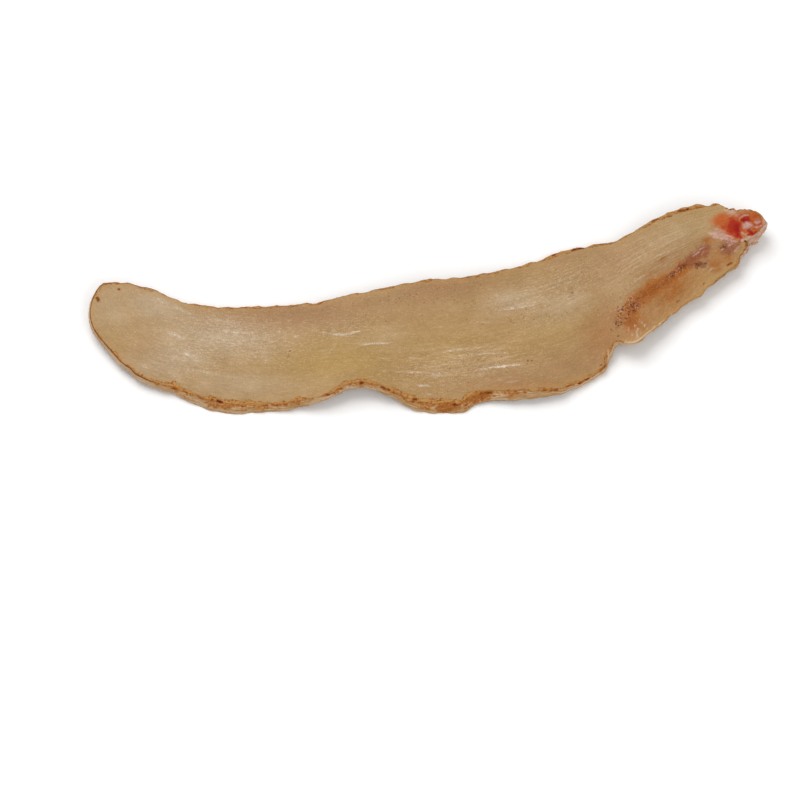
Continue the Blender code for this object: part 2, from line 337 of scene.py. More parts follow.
@dataclass
class SliceForm:
    """The slice's outline, rises, thickness and relief, in millimetres, as in its solid."""

    flesh_thickness: float = 1.7
    rind_thickness: float = 2.1
    rind_reach: float = 3.0
    lower_edge: Pairs = (
        (-66.5, -9), (-62, -14), (-57.5, -17), (-50.5, -19.6), (-44.5, -22.4), (-38.5, -23.1),
        (-32, -22.6), (-26, -22), (-21.5, -21), (-17, -19.2), (-13, -18.4), (-9, -19.5),
        (-5, -21.3), (-1.5, -22.6), (4, -23), (7.5, -22.6), (10.5, -21), (15, -20.6), (20, -20.6),
        (25, -19.7), (29.5, -18.1), (33, -15.9), (36.3, -13.6), (37.7, -11.2), (38.8, -8.5),
        (42, -8.6), (45.5, -6), (48.7, -3), (52.5, 0.4), (56.5, 3.5), (60.5, 6.8), (63.8, 9.7),
        (65.4, 11.8), (66.6, 14.3), (68.2, 15), (69.5, 16.4),
    )
    upper_edge: Pairs = (
        (-67, 4.5), (-62, 4.5), (-57.5, 3.5), (-51, 1), (-44, 0.1), (-38, 0.2), (-32, 0.5),
        (-26.5, 0.5), (-22, 1), (-17.5, 2), (-13.5, 2.8), (-9.5, 3.5), (-5.5, 4.3), (-1.5, 5),
        (3.5, 5.4), (7, 5.9), (10.5, 6.6), (14.5, 7.8), (18.5, 9), (22.5, 10.6), (25.5, 12),
        (28, 13), (31.5, 13.6), (34.5, 14.4), (37, 14.5), (39.8, 15.1), (43, 16.8), (46.5, 18.7),
        (50, 20.3), (53.2, 21.6), (57.5, 22), (61, 22.3), (63, 21.3), (65.3, 20.7), (67.5, 20.4),
        (69.1, 19.6),
    )
    root_end: Pairs = ((-68.0, -7.0), (-69.2, -4.5), (-69.6, -1.5), (-68.4, 2.8))
    bud_end: Pairs = ((70.4, 18.0),)
    root_blend: float = 14.0
    bud_blend: float = 7.0
    lower_rise: Pairs = (
        (-70, 2.6), (-60, 2), (-50, 1.2), (-42, 0.7), (-34, 0.7), (-26, 1.7), (-20, 3), (-14, 3.6),
        (-9, 2.9), (-5, 1.7), (0, 0.8), (6, 0.8), (12, 1.6), (20, 2.4), (26, 2.2), (31, 1.1),
        (35, 0.7), (38, 2), (41, 3.6), (47, 3.3), (53, 2.5), (60, 2.7), (70, 3),
    )
    spine_rise: Pairs = (
        (-70, 3.2), (-55, 2.4), (-40, 2.3), (-18, 3.6), (2, 3.2), (20, 3.8), (36, 3), (52, 3.4),
        (70, 3.6),
    )
    upper_rise: Pairs = (
        (-70, 3.6), (-60, 3), (-50, 1.7), (-42, 0.8), (-34, 0.7), (-26, 1.4), (-12, 2.6), (0, 3.4),
        (8, 3), (16, 1.9), (23, 0.8), (30, 0.7), (37, 1.3), (45, 3), (52, 3.9), (60, 4), (70, 3.6),
    )
    edge_curl: float = 2.2
    rind_lean: Pairs = (
        (-70, 0.25), (-58, 0.25), (-50, 0.8), (-45, 1.4), (-38, 1.4), (-32, 0.95), (-26, 0.65),
        (-21, 0.3), (-16, 0.3), (-11, 0.45), (-6, 0.75), (-2, 1.25), (7, 1.45), (12, 1.45),
        (19, 1.3), (23, 0.85), (27, 0.4), (31, 0.25), (35, 0), (37.5, 0.4), (39, 0), (41.5, -0.8),
        (47, -0.75), (61, -0.75), (65, -0.35), (70, 0.2),
    )
    rind_bulge: float = 0.3
    spine: Pairs = (
        (-69.5, 1), (-57, -6), (-36.5, -10.5), (-18, -9.5), (0.5, -9), (15, -7), (27, -3.5),
        (35.5, 1.5), (44, 7.5), (52.5, 12.5), (61, 16.5), (70.5, 19),
    )
    half_width: Pairs = (
        (-70, 9), (-40, 12.5), (20, 13.5), (34, 12), (46, 9), (60, 6.5), (71, 4),
    )
    spine_steps: int = 400
    top_ridges: tuple[Wave, ...] = (
        Wave(0.04, 61.0, 0.43, 0.6), Wave(0.03, 47.0, 0.29, 2.1), Wave(0.02, 33.0, 0.19, 4.0),
        Wave(0.05, 23.0, 1.70, 1.1),
    )
    under_ridges: tuple[Wave, ...] = (
        Wave(0.08, 57.0, 0.47, 3.6), Wave(0.055, 41.0, 0.31, 0.4), Wave(0.04, 29.0, 0.21, 5.1),
        Wave(0.10, 27.0, 1.50, 2.7),
    )
    ridge_wander: float = 1.7
    ridge_loss_at_rind: float = 0.7
    edge_waves: tuple[tuple[float, float, float], ...] = (
        (0.08, 9.7, 0.4), (0.07, 5.3, 2.2), (0.06, 3.4, 4.1),
    )
    ragged_from: float = 48.0
    ragged_over: float = 8.0
    ragged_gain: float = 2.0
    calm_at_ends: float = 4.0
    edge_share: int = 6
    knob: Lump = Lump(66.8, 18.0, 4.2, 1.0)
    lip_centre: tuple[float, float] = (67.3, 18.0)
    lip_radius: float = 2.5
    lip_width: float = 0.75
    lip_height: float = 0.75
    lip_at_top: float = 0.6
    bud_scales: tuple[Lump, ...] = (
        Lump(66.4, 18.2, 0.9, 0.55), Lump(65.9, 20.0, 0.8, 0.45), Lump(67.4, 16.7, 0.8, 0.45),
        Lump(68.2, 19.6, 0.8, 0.35), Lump(64.2, 20.4, 0.9, 0.3), Lump(62.4, 17.4, 2.0, 0.25),
    )
    face_lumps: tuple[Lump, ...] = (
        Lump(37.6, -11.0, 1.6, 0.45), Lump(38.4, -8.9, 1.3, 0.45), Lump(43.5, -6.9, 1.5, 0.3),
        Lump(39.9, -6.0, 2.4, -0.35), Lump(42.4, -0.5, 2.8, -0.3), Lump(47.0, 4.3, 2.6, -0.25),
        Lump(52.2, 7.2, 2.4, 0.25), Lump(56.3, 10.6, 2.6, -0.25), Lump(61.6, 12.8, 2.0, 0.3),
        Lump(-15.6, -15.8, 2.4, 0.35), Lump(-30.0, -12.0, 9.0, -0.3), Lump(8.0, 0.0, 8.0, 0.3),
        Lump(22.0, -12.0, 8.0, -0.3), Lump(-55.0, -4.0, 7.0, 0.25),
    )
    under_lumps: tuple[Lump, ...] = (
        Lump(66.8, 18.0, 3.8, 1.0), Lump(64.0, 16.5, 1.6, 0.3), Lump(68.0, 19.8, 1.2, 0.3),
        Lump(-20.0, -8.0, 8.0, -0.25), Lump(14.0, -6.0, 9.0, -0.25),
    )

    def edge_wobble(self, curve: Array) -> Array:
        """How far the edge swells out, by distance along it.

        Args:
            curve: the edge's points.

        Returns:
            One distance for each point.
        """
        run = run_of(curve)
        swell = sum(
            size * np.sin(FULL_TURN * run / length + start) for size, length, start in self.edge_waves
        )
        at_bud = np.clip((curve[:, 0] - self.ragged_from) / self.ragged_over, 0, 1)
        at_ends = np.clip(np.minimum(run, run[-1] - run) / self.calm_at_ends, 0, 1)
        return swell * (1 + (self.ragged_gain - 1) * at_bud) * at_ends

    def outward(self, curve: Array, side: Side) -> Array:
        """Unit vectors that point away from the slice along one edge.

        Args:
            curve: the edge's points.
            side: which long edge it is.

        Returns:
            One vector for each point.
        """
        tangent = np.gradient(curve, axis=0)
        tangent /= np.linalg.norm(tangent, axis=1)[:, None]
        return side * np.stack([-tangent[:, 1], tangent[:, 0]], axis=1)

    def end_bulge(self, corner_a: Any, between: Pairs, corner_b: Any, t: Array) -> Array:
        """How far a rounded end stands out of the straight line between its two corners.

        Args:
            corner_a: the end's first corner.
            between: points of the end between its corners.
            corner_b: the end's second corner.
            t: places from 0 at the first corner to 1 at the second.

        Returns:
            One offset for each place.
        """
        points = np.array([corner_a, *between, corner_b], float)
        knots = chord_knots(points)
        on_curve = smooth(knots / knots[-1], points, t)
        return on_curve - (points[0] + t[:, None] * (points[-1] - points[0]))

    def knots(self) -> Array:
        """Where the outline's pairs of points stand along the slice."""
        return chord_knots(self.lower_edge, self.upper_edge)

    def plan(self, face: Face, at: Array, t: Array, fringe: Mapping[Side, Array]) -> Array:
        """X and Y of a grid's points on one face.

        Args:
            face: which face.
            at: places of the columns, in the outline's knots.
            t: places of the rows, 0 at the lower edge and 1 at the upper.
            fringe: fine raggedness of each long edge, one value for each column.

        Returns:
            An array of columns by rows by 2.
        """
        knots = self.knots()
        lower, upper = smooth(knots, self.lower_edge, at), smooth(knots, self.upper_edge, at)
        grid = lower[:, None] + t[None, :, None] * (upper - lower)[:, None]
        near_root = np.clip(1 - at / self.root_blend, 0, 1) ** 2
        near_bud = np.clip(1 - (knots[-1] - at) / self.bud_blend, 0, 1) ** 2
        root = self.end_bulge(self.lower_edge[0], self.root_end, self.upper_edge[0], t)
        bud = self.end_bulge(self.lower_edge[-1], self.bud_end, self.upper_edge[-1], t)
        grid += near_root[:, None, None] * root[None] + near_bud[:, None, None] * bud[None]
        lean = along_x(self.rind_lean, lower[:, 0]) if face is Face.TOP else np.zeros(len(lower))
        push_lower = self.edge_wobble(lower) - lean + fringe[Side.LOWER]
        push_upper = self.edge_wobble(upper) + fringe[Side.UPPER]
        lower_way, upper_way = self.outward(lower, Side.LOWER), self.outward(upper, Side.UPPER)
        grid += ((1 - t) ** self.edge_share)[None, :, None] * (push_lower[:, None] * lower_way)[:, None]
        grid += (t**self.edge_share)[None, :, None] * (push_upper[:, None] * upper_way)[:, None]
        return grid

    def fibre_place(self, xy: Array) -> tuple[Array, Array]:
        """Where points lie among the fibres.

        Args:
            xy: points in plan.

        Returns:
            Distance along the spine, and distance across it in half widths.
        """
        knots = chord_knots(self.spine)
        run = np.linspace(0.0, knots[-1], self.spine_steps)
        line = smooth(knots, self.spine, run)
        tangent = np.gradient(line, axis=0)
        tangent /= np.linalg.norm(tangent, axis=1)[:, None]
        flat = xy.reshape(-1, 2)
        closest = nearest(flat, line)
        offset, direction = flat - line[closest], tangent[closest]
        signed = direction[:, 0] * offset[:, 1] - direction[:, 1] * offset[:, 0]
        past = (direction * offset).sum(-1)
        across = signed / along_x(self.half_width, line[closest, 0])
        return (run[closest] + past).reshape(xy.shape[:-1]), across.reshape(xy.shape[:-1])

    def ridges(self, waves: Sequence[Wave], along: Array, across: Array) -> Array:
        """Height of the long ridges, which wander a little from side to side.

        Args:
            waves: the ridges of one face.
            along: distance along the fibres.
            across: distance across them.

        Returns:
            One height for each place.
        """
        height = np.zeros_like(along)
        for wave in waves:
            wander = self.ridge_wander * np.sin(FULL_TURN * along / wave.along + wave.start)
            height += wave.height * np.sin(FULL_TURN * across / wave.across + wander)
        return height

    def lumps(self, found: Sequence[Lump], xy: Array) -> Array:
        """Summed height of round swellings and hollows.

        Args:
            found: the swellings and hollows.
            xy: points in plan.

        Returns:
            One height for each point.
        """
        x, y = xy[..., 0], xy[..., 1]
        return sum(
            lump.height * np.exp(-((x - lump.x) ** 2 + (y - lump.y) ** 2) / lump.reach**2)
            for lump in found
        )

    def bud_lip(self, xy: Array) -> Array:
        """Height of the lip round the knob's outer side, fading towards the neck.

        Args:
            xy: points in plan.

        Returns:
            One height for each point.
        """
        away = xy - np.array(self.lip_centre)
        radius = np.linalg.norm(away, axis=-1)
        outer_side = np.clip(self.lip_at_top + away[..., 0] / self.lip_radius, 0, 1)
        on_lip = np.exp(-(((radius - self.lip_radius) / self.lip_width) ** 2))
        return self.lip_height * outer_side * on_lip

    def middle_height(self, xy: Array, t: Array) -> Array:
        """Height of the middle of the slice's thickness.

        Args:
            xy: a face's points in plan.
            t: places of the rows.

        Returns:
            One height for each point.
        """
        x = xy[..., 0]
        spine = along_x(self.spine_rise, x)
        to_lower = (along_x(self.lower_rise, x) - spine) * (1 - t) ** self.edge_curl
        to_upper = (along_x(self.upper_rise, x) - spine) * t**self.edge_curl
        return spine + to_lower + to_upper

    def heights(self, face: Face, xy: Array, t: Array) -> Array:
        """Height of one face's points, with the solid's own relief.

        Args:
            face: which face.
            xy: the face's points in plan.
            t: places of the rows.

        Returns:
            One height for each point. The underside isn't levelled yet.
        """
        along, across = self.fibre_place(xy)
        width = np.linalg.norm(xy[:, -1] - xy[:, 0], axis=1)[:, None]
        at_rind = np.exp(-((np.minimum(t, 1 - t)[None] * width / self.rind_reach) ** 2))
        half = (self.flesh_thickness + (self.rind_thickness - self.flesh_thickness) * at_rind) / 2
        inner = 1 - self.ridge_loss_at_rind * at_rind
        if face is Face.TOP:
            relief = self.ridges(self.top_ridges, along, across) * inner + self.bud_lip(xy)
            relief += self.lumps([self.knob, *self.bud_scales, *self.face_lumps], xy)
            return self.middle_height(xy, t) + half + relief
        relief = self.ridges(self.under_ridges, along, across) * inner
        relief += self.lumps(self.under_lumps, xy)
        return self.middle_height(xy, t) - half - relief


@dataclass
class Markings:
    """Where the slice's streaks, stains, crusts and colours lie, in millimetres."""

    starch: Marks = each(
        Spindle,
        (-21.8, -6.2, -18.9, -7.1, 0.28, 0.75), (-19.8, -7, -15.8, -7.1, 0.32, 0.95),
        (-16.8, -7.1, -13.8, -6.1, 0.28, 0.85), (-20.7, -11.2, -18.7, -9.6, 0.22, 0.5),
        (-13.9, -9.5, -7.4, -8.8, 0.26, 0.8), (-10.5, -12.3, -7.2, -12.3, 0.22, 0.6),
        (-5.4, -12.2, -0.4, -11.9, 0.22, 0.4), (0.5, -10.9, 13.5, -9.5, 0.24, 0.75),
        (4.7, -11.9, 17.4, -10.7, 0.24, 0.65), (10.2, -14.5, 19.4, -13.4, 0.3, 0.85),
        (-6.2, -15, 4.5, -15.4, 0.34, 0.5), (0.4, -15.7, 2.8, -15.4, 0.34, 0.85),
        (-2.1, -17.9, 0.6, -17.9, 0.3, 0.8), (-0.2, -19.5, 1, -19.5, 0.26, 0.6),
        (14.1, 1.3, 20.7, 1.5, 0.3, 0.5), (14.6, -1.5, 22.3, -0.1, 0.34, 0.65),
        (9.3, -4.4, 13.4, -4.2, 0.3, 0.5), (15.9, -17.5, 18.6, -17.3, 0.22, 0.6),
        (25.3, -16.6, 27.2, -16, 0.22, 0.45), (-53.5, -6.2, -49.9, -7.6, 0.56, 0.64),
        (-56.8, 1.5, -52.8, -0.1, 0.75, 0.38), (-52.8, -0.1, -47.4, -2.8, 0.75, 0.45),
        (-50.6, -10.7, -45.7, -11.9, 0.53, 0.56), (-49.2, -14, -42.6, -15.4, 0.5, 0.45),
        (-59.6, -13.2, -57.3, -14.3, 0.53, 0.49), (-34.9, -9.6, -31.8, -13, 1.38, 0.38),
        (-43.2, -5.1, -38.5, -5.8, 0.75, 0.38), (-23.4, -10.7, -18.7, -11, 0.4, 0.4),
        (-28, -7.1, -25.9, -7.1, 0.3, 0.45), (-46.6, -2.1, -38.3, -4.4, 0.88, 0.34),
        (-37.2, -6.2, -31, -8, 0.62, 0.3), (-53.4, -14.8, -51.4, -15.7, 0.5, 0.38),
        (-38.1, -16.3, -33.6, -17.5, 0.5, 0.22), (50.6, 15.3, 43, 11.6, 0.25, 0.4),
        (55, 16.2, 46.8, 12, 0.25, 0.4), (40.7, 4, 45.8, 6.8, 0.28, 0.45),
        (44.4, 9.3, 54.9, 14.8, 0.25, 0.35), (42.4, -4.6, 43.8, -7.2, 0.24, 0.8),
        (41.2, -5.4, 42, -7.6, 0.2, 0.8), (43.6, -3.8, 45.4, -6.4, 0.2, 0.7),
        (44.8, -2.6, 46.6, -4.8, 0.18, 0.6), (42.8, -6.6, 43.2, -8.4, 0.2, 0.8),
        (45.6, -5.2, 46.6, -6, 0.2, 0.6), (57.2, 7.6, 58.4, 8.9, 0.22, 0.6),
        (58.2, 7.2, 59.2, 8.3, 0.2, 0.6), (48.2, 10.9, 49.2, 11.3, 0.2, 0.6),
        (49.4, 10.3, 50.6, 10.6, 0.2, 0.6), (46, -2.4, 48.2, -0.6, 0.25, 0.4),
        (41.2, 0.2, 43.6, 1.6, 0.25, 0.4), (55.8, 11.4, 56.8, 12.2, 0.24, 0.55),
        (56.6, 11, 57.4, 11.7, 0.22, 0.55), (54.9, 11.1, 55.8, 11.8, 0.22, 0.45),
        (53.6, 6.6, 54.6, 7.4, 0.22, 0.5),
    )
    frost: Marks = each(
        Patch,
        (-40, -6.5, 15, 5.5, -0.12, 1), (-48, -11, 9, 5, 0, 0.8), (-20, -5.5, 10, 3.5, 0.15, 0.6),
        (27, 4, 11, 5, 0.5, 0.7), (4, -14, 16, 4.5, 0.1, 0.7), (44, 11, 9, 3, 0.6, 0.4),
    )
    yellow: Marks = each(
        Patch,
        (-20, -12.5, 15, 6, 0, 1), (2, -9.5, 18, 5, 0.1, 0.5), (24, -7, 12, 4.5, 0.3, 0.5),
        (-64.5, -6, 3, 4, 0, 0.3), (55, 18, 8, 2.6, 0.45, 0.35), (57, 6.2, 3.6, 2, 0.7, 0.7),
        (62.5, 9.6, 1.6, 1.4, 0.7, 0.5),
    )
    grey: Marks = each(
        Patch,
        (-42, -7, 14, 5.5, -0.1, 1), (-52, -12, 10, 5, 0.3, 0.9), (-37, -17, 13, 3.5, 0, 0.8),
        (-62, 0, 6, 4, 0, 0.5), (17, 1, 6, 3, 0.3, 0.8), (-12, -9, 8, 2.5, 0.1, 0.5),
        (53, 16.5, 8, 2.4, 0.45, 0.6), (-56, -0.5, 8, 4, -0.3, 1), (-65, -2, 5, 5, 0, 0.7),
        (27.5, -1, 7, 4, 0.4, 0.7),
    )
    rosy: Marks = each(
        Patch,
        (-27, -1.6, 17, 4.2, 0.02, 1.3), (-14, -0.5, 9, 3, 0.15, 0.9), (3, 3.6, 12, 3.4, 0.2, 1.1),
        (20, -16.5, 13, 3.5, 0, 0.7), (35, -9.5, 5, 6.5, 0.1, 1.1), (37.5, -2, 3, 5, 0.1, 0.7),
        (38, 10, 8, 5, 0.4, 0.7), (49, 7.5, 9, 4, 0.7, 1), (58, 11.5, 6, 4, 0.5, 0.9),
        (-31, -8.5, 11, 4, 0, 0.35), (30, 11.5, 7, 1.6, 0.3, 0.7), (29, -13.5, 8, 4.5, 0.2, 0.9),
    )
    tawny: Marks = each(
        Patch,
        (50.5, 2.5, 9, 3.4, 0.78, 1), (43.5, -4.5, 5, 3, 0.75, 1), (60.5, 11, 3.4, 2.6, 0.6, 0.9),
        (20, -18.2, 14, 1.6, 0, 0.4), (59.2, 14.2, 1.6, 1.1, 0.3, 0.8), (36.5, -6, 3.5, 5, 0, 0.7),
    )
    lined: Marks = each(
        Patch,
        (47, 11.5, 14, 5, 0.6, 1), (10, -12, 20, 5, 0.1, 0.8), (24, 3, 14, 6, 0.4, 0.8),
        (-42, -8, 16, 7, -0.1, 0.6), (-10, -9, 14, 5, 0.1, 0.5),
    )
    pores: Marks = each(
        Patch,
        (41.4, -0.8, 2.8, 1.6, 0.7, 0.75), (39.8, -3.8, 2, 1.3, 0.9, 0.45),
    )
    amber: Marks = each(
        Streak,
        (42.8, 0.2, 46.4, 3.2, 2, 1.05), (46.4, 3.2, 50, 5.2, 2, 1.15),
        (50, 5.2, 53, 8.2, 1.5, 1.05), (42.2, -0.6, 41.7, -4.6, 1.7, 1.05),
        (53, 7.6, 57, 11.6, 1.3, 0.6),
    ) + each(
        Patch,
        (40.6, -2.6, 2.4, 2.6, 0.7, 0.7), (58.3, 14.2, 1.1, 0.9, 0.3, 0.7),
        (59.4, 9, 1.7, 1.1, 0.5, 0.6), (60, 7.6, 1.6, 0.8, 0.4, 0.6),
        (50.6, 2.4, 4.2, 1.4, 0.75, 0.6), (62.6, 10.4, 1.8, 1, 0.7, 0.5),
        (46, 6.8, 1.6, 0.7, 0.5, 0.4), (55, 9.8, 2.4, 1.4, 0.8, 0.5),
        (48.9, 10.1, 1.2, 0.6, 0.5, 0.55),
    )
    crust: Marks = each(
        Patch,
        (52.8, 8.2, 1.7, 0.8, 0.6, 0.8), (50.6, 6.6, 1.9, 0.7, 0.5, 0.7),
        (56.3, 8.9, 1.2, 0.9, 0.5, 0.85), (42.2, -0.7, 2.2, 1.3, 0.6, 0.5),
        (57.5, 9, 1.3, 0.8, 0.6, 0.55), (62.6, 11.7, 1.1, 0.6, 0.4, 0.35),
        (61.6, 12.6, 1.1, 0.6, 0.3, 0.7), (48.8, 10.2, 0.9, 0.5, 0.5, 0.25),
        (-28.6, -11.4, 0.5, 0.6, 0, 0.6), (39.6, -4.4, 1.3, 1.6, 0.6, 0.45),
    )
    purple: Marks = each(
        Patch,
        (62.9, 13.2, 2.4, 1.5, 0.3, 1.25), (64.4, 13.6, 1.1, 0.9, 0.5, 1.2),
        (62.4, 11.9, 1.7, 0.9, 0.3, 1), (57.2, 8.8, 1.6, 1, 0.5, 0.8),
        (56.4, 8.9, 1.3, 0.9, 0.5, 0.8),
    ) + each(
        Streak,
        (54.6, 9.8, 57.6, 12.4, 1.4, 1.25), (51.6, 7.6, 54.4, 10.4, 1, 0.7),
    )
    orange: Marks = each(
        Patch,
        (61.5, 18.6, 2.4, 1.7, 0.2, 1.2), (67.2, 17.4, 3.6, 3.2, -0.3, 1.3),
        (68.4, 19, 1.9, 1.3, -0.6, 1.3), (65, 19, 2.4, 1.2, -0.2, 1.1),
        (63.2, 16.8, 3, 2.4, -0.4, 1.2), (64.4, 19.8, 1.8, 0.8, -0.2, 0.5),
    )
    coral: Marks = each(
        Patch,
        (63.7, 16.9, 1.9, 2.2, -0.15, 1.3), (64.3, 16, 1, 1.7, 0.2, 0.9),
        (66.1, 18.3, 1.2, 0.8, -0.25, 1.2), (64.2, 15.1, 1.1, 0.6, 0.3, 0.7),
        (62.3, 17, 1.8, 0.9, -0.2, 0.7), (67.9, 18.8, 1.3, 0.8, -0.6, 0.35),
        (65.5, 16.4, 0.4, 0.8, 0, 0.8), (66.4, 17, 0.35, 0.3, 0, 0.8),
        (67.9, 17.4, 0.3, 0.5, 0, 0.8), (66.8, 19.4, 0.7, 0.3, 0, 0.7),
    ) + each(
        Streak,
        (66.8, 16.2, 67.4, 15.4, 0.5, 1.1), (64.5, 15.8, 65.3, 14.5, 0.5, 1),
        (66.6, 14.9, 68.4, 15.7, 0.25, 1), (68.6, 16.6, 69.2, 17.4, 0.2, 0.7),
    )
    deep: Marks = each(
        Patch,
        (64.3, 16.5, 1, 1.7, 0.1, 0.95), (66.1, 18.2, 0.9, 0.5, -0.25, 1),
    ) + each(
        Streak,
        (66.9, 16.1, 67.3, 15.6, 0.3, 0.8),
    )
    blush: Marks = each(
        Patch,
        (60.6, 15.7, 2.3, 0.9, -0.2, 0.6), (63, 13.8, 1.6, 0.9, 0.4, 0.45),
        (66.6, 17.1, 1.2, 0.9, 0, 0.95), (63.6, 20, 1.9, 0.7, -0.4, 0.55),
    ) + each(
        Spindle,
        (58.4, 16, 61.4, 15.4, 0.34, 0.95), (59.2, 15.2, 62.4, 14.5, 0.32, 0.95),
        (59.8, 16.8, 62, 16.3, 0.22, 0.75), (61.4, 15.2, 63.8, 14.8, 0.26, 0.85),
        (61.6, 14.5, 64.6, 14, 0.28, 0.7), (62.2, 12.8, 64, 13.9, 0.22, 0.7),
        (61.4, 13.5, 63.2, 14.5, 0.22, 0.6), (63.4, 11.4, 64.8, 13.2, 0.36, 0.55),
        (61, 11.9, 62, 12.5, 0.24, 0.7), (54.9, 10.6, 56.6, 11.9, 0.18, 0.8),
        (56, 12, 57.4, 13, 0.18, 0.7), (65, 19, 66.9, 19.4, 0.26, 0.85),
        (67.9, 18, 69.4, 18.2, 0.5, 0.8), (67.8, 17, 69.4, 16.7, 0.45, 0.8),
    ) + each(
        Streak,
        (66, 17.2, 67.2, 17.2, 0.42, 0.9), (64.9, 18.5, 65.1, 18.9, 0.24, 0.6),
        (65.4, 15.8, 66.2, 15.2, 0.26, 0.7), (66.2, 15, 67, 14.6, 0.2, 0.6),
    )
    cream: Marks = each(
        Streak,
        (70.2, 18.7, 70.2, 17, 0.6, 1.1), (70.2, 17, 69.2, 15.4, 0.5, 1),
        (69.2, 15.4, 67.4, 14.6, 0.42, 1), (67.4, 14.6, 65.4, 14.2, 0.45, 0.9),
        (69, 20.3, 70.1, 18.9, 0.55, 1),
    ) + each(
        Patch,
        (63.4, 20.6, 1.6, 0.6, -0.3, 0.9),
    )
    lip: Marks = each(
        Streak,
        (40.4, -9.1, 42.5, -9.2, 0.28, 1), (42.5, -9.2, 44.6, -7.7, 0.28, 1),
        (44.6, -7.7, 46.8, -5.5, 0.26, 0.9), (46.8, -5.5, 48.7, -4, 0.25, 0.7),
        (48.7, -4, 51.2, -1.6, 0.22, 0.5), (37, -10, 37.2, -12.8, 0.22, 0.9),
    )
    flecks: Marks = each(
        Streak,
        (-52.4, -18.3, -51.6, -18.5, 0.36, 0.9), (-43, -21, -42.2, -21.2, 0.34, 1.1),
        (-44.4, -20.7, -43.8, -20.8, 0.22, 0.8), (-38.2, -22.1, -37, -22.2, 0.3, 0.9),
        (-33.5, -21.9, -32.5, -22, 0.28, 0.9), (-31.5, -21.8, -30.7, -21.9, 0.22, 0.8),
        (-26.4, -21.7, -25.6, -21.6, 0.22, 0.7), (-20.8, -20.6, -18.9, -20.1, 0.36, 0.9),
        (-18.2, -19.3, -17.4, -19.3, 0.2, 0.8), (-13.5, -18.1, -13.3, -18.1, 0.36, 1.2),
        (-14.1, -18.6, -13.9, -18.5, 0.3, 0.9), (-12, -18.6, -11.5, -18.7, 0.22, 0.8),
        (-9.6, -18.9, -8, -19.4, 0.3, 0.9), (-6.9, -19.8, -5.3, -20.2, 0.28, 0.8),
        (-3, -20.8, -2.2, -20.8, 0.32, 1), (-3.4, -21.4, -2.8, -21.3, 0.28, 0.8),
        (1.3, -22.2, 2.1, -22.4, 0.34, 0.9), (5.3, -21.8, 6.8, -22.4, 0.5, 1.1),
        (3.4, -21.6, 5.3, -21.1, 0.22, 0.7), (7, -21.5, 8.6, -21, 0.22, 0.6),
        (10.7, -19.8, 12.9, -19.6, 0.46, 1.1), (17.4, -19.9, 20.1, -19.7, 0.3, 1),
        (15.4, -20.5, 19, -20.8, 0.24, 0.7), (24.2, -19.8, 26.4, -19.1, 0.34, 1),
        (28.7, -18, 30, -17.5, 0.25, 0.7), (30.9, -17.2, 33.1, -16, 0.26, 1),
        (35.4, -14.3, 36.6, -13.6, 0.4, 0.6), (36.5, -13.4, 37.4, -11.9, 0.25, 0.8),
        (-56, -17.5, -54.9, -18, 0.22, 0.6), (-50.1, -18.9, -49.3, -19.3, 0.26, 0.7),
        (-46.9, -20.2, -46, -20.5, 0.3, 0.7), (-40.3, -21.7, -39.5, -21.8, 0.2, 0.6),
        (-35.6, -22.2, -34.8, -22.2, 0.2, 0.6), (-29.4, -21.8, -28.6, -21.8, 0.22, 0.7),
        (-23.7, -21.5, -22.9, -21.4, 0.22, 0.7), (-16.5, -18.7, -15.7, -18.5, 0.2, 0.6),
        (-68.2, 1.1, -67.9, 0.6, 0.34, 1), (-63.8, 3.2, -63.7, 3.1, 0.3, 0.9),
        (-42.2, 0.2, -41.4, 0.1, 0.22, 0.8), (-38.4, 0.2, -37.4, 0.3, 0.25, 0.8),
        (26, 12, 27, 12.5, 0.26, 0.9), (30.2, 13.3, 32.4, 13.7, 0.32, 1),
        (35.9, 14.4, 37, 14.5, 0.3, 0.9), (38.6, 14.8, 39.8, 15.3, 0.26, 0.7),
        (49.9, 19.5, 50.7, 19.7, 0.26, 0.7), (52.6, 20.8, 54.4, 21.2, 0.36, 0.9),
        (46.6, 18.4, 48, 19.2, 0.26, 0.8), (55.8, 21.4, 57.2, 21.6, 0.22, 0.7),
        (62.4, 21.5, 63.4, 21, 0.26, 0.9), (65.9, 14, 66.2, 13.9, 0.24, 1.1),
        (66.2, 13.3, 66.6, 12.9, 0.28, 0.7), (62.2, 8.8, 63, 9.4, 0.3, 0.7),
        (56.4, 4, 57.4, 4.8, 0.22, 0.5), (51.4, 0.4, 52.4, 1.2, 0.2, 0.5),
    )
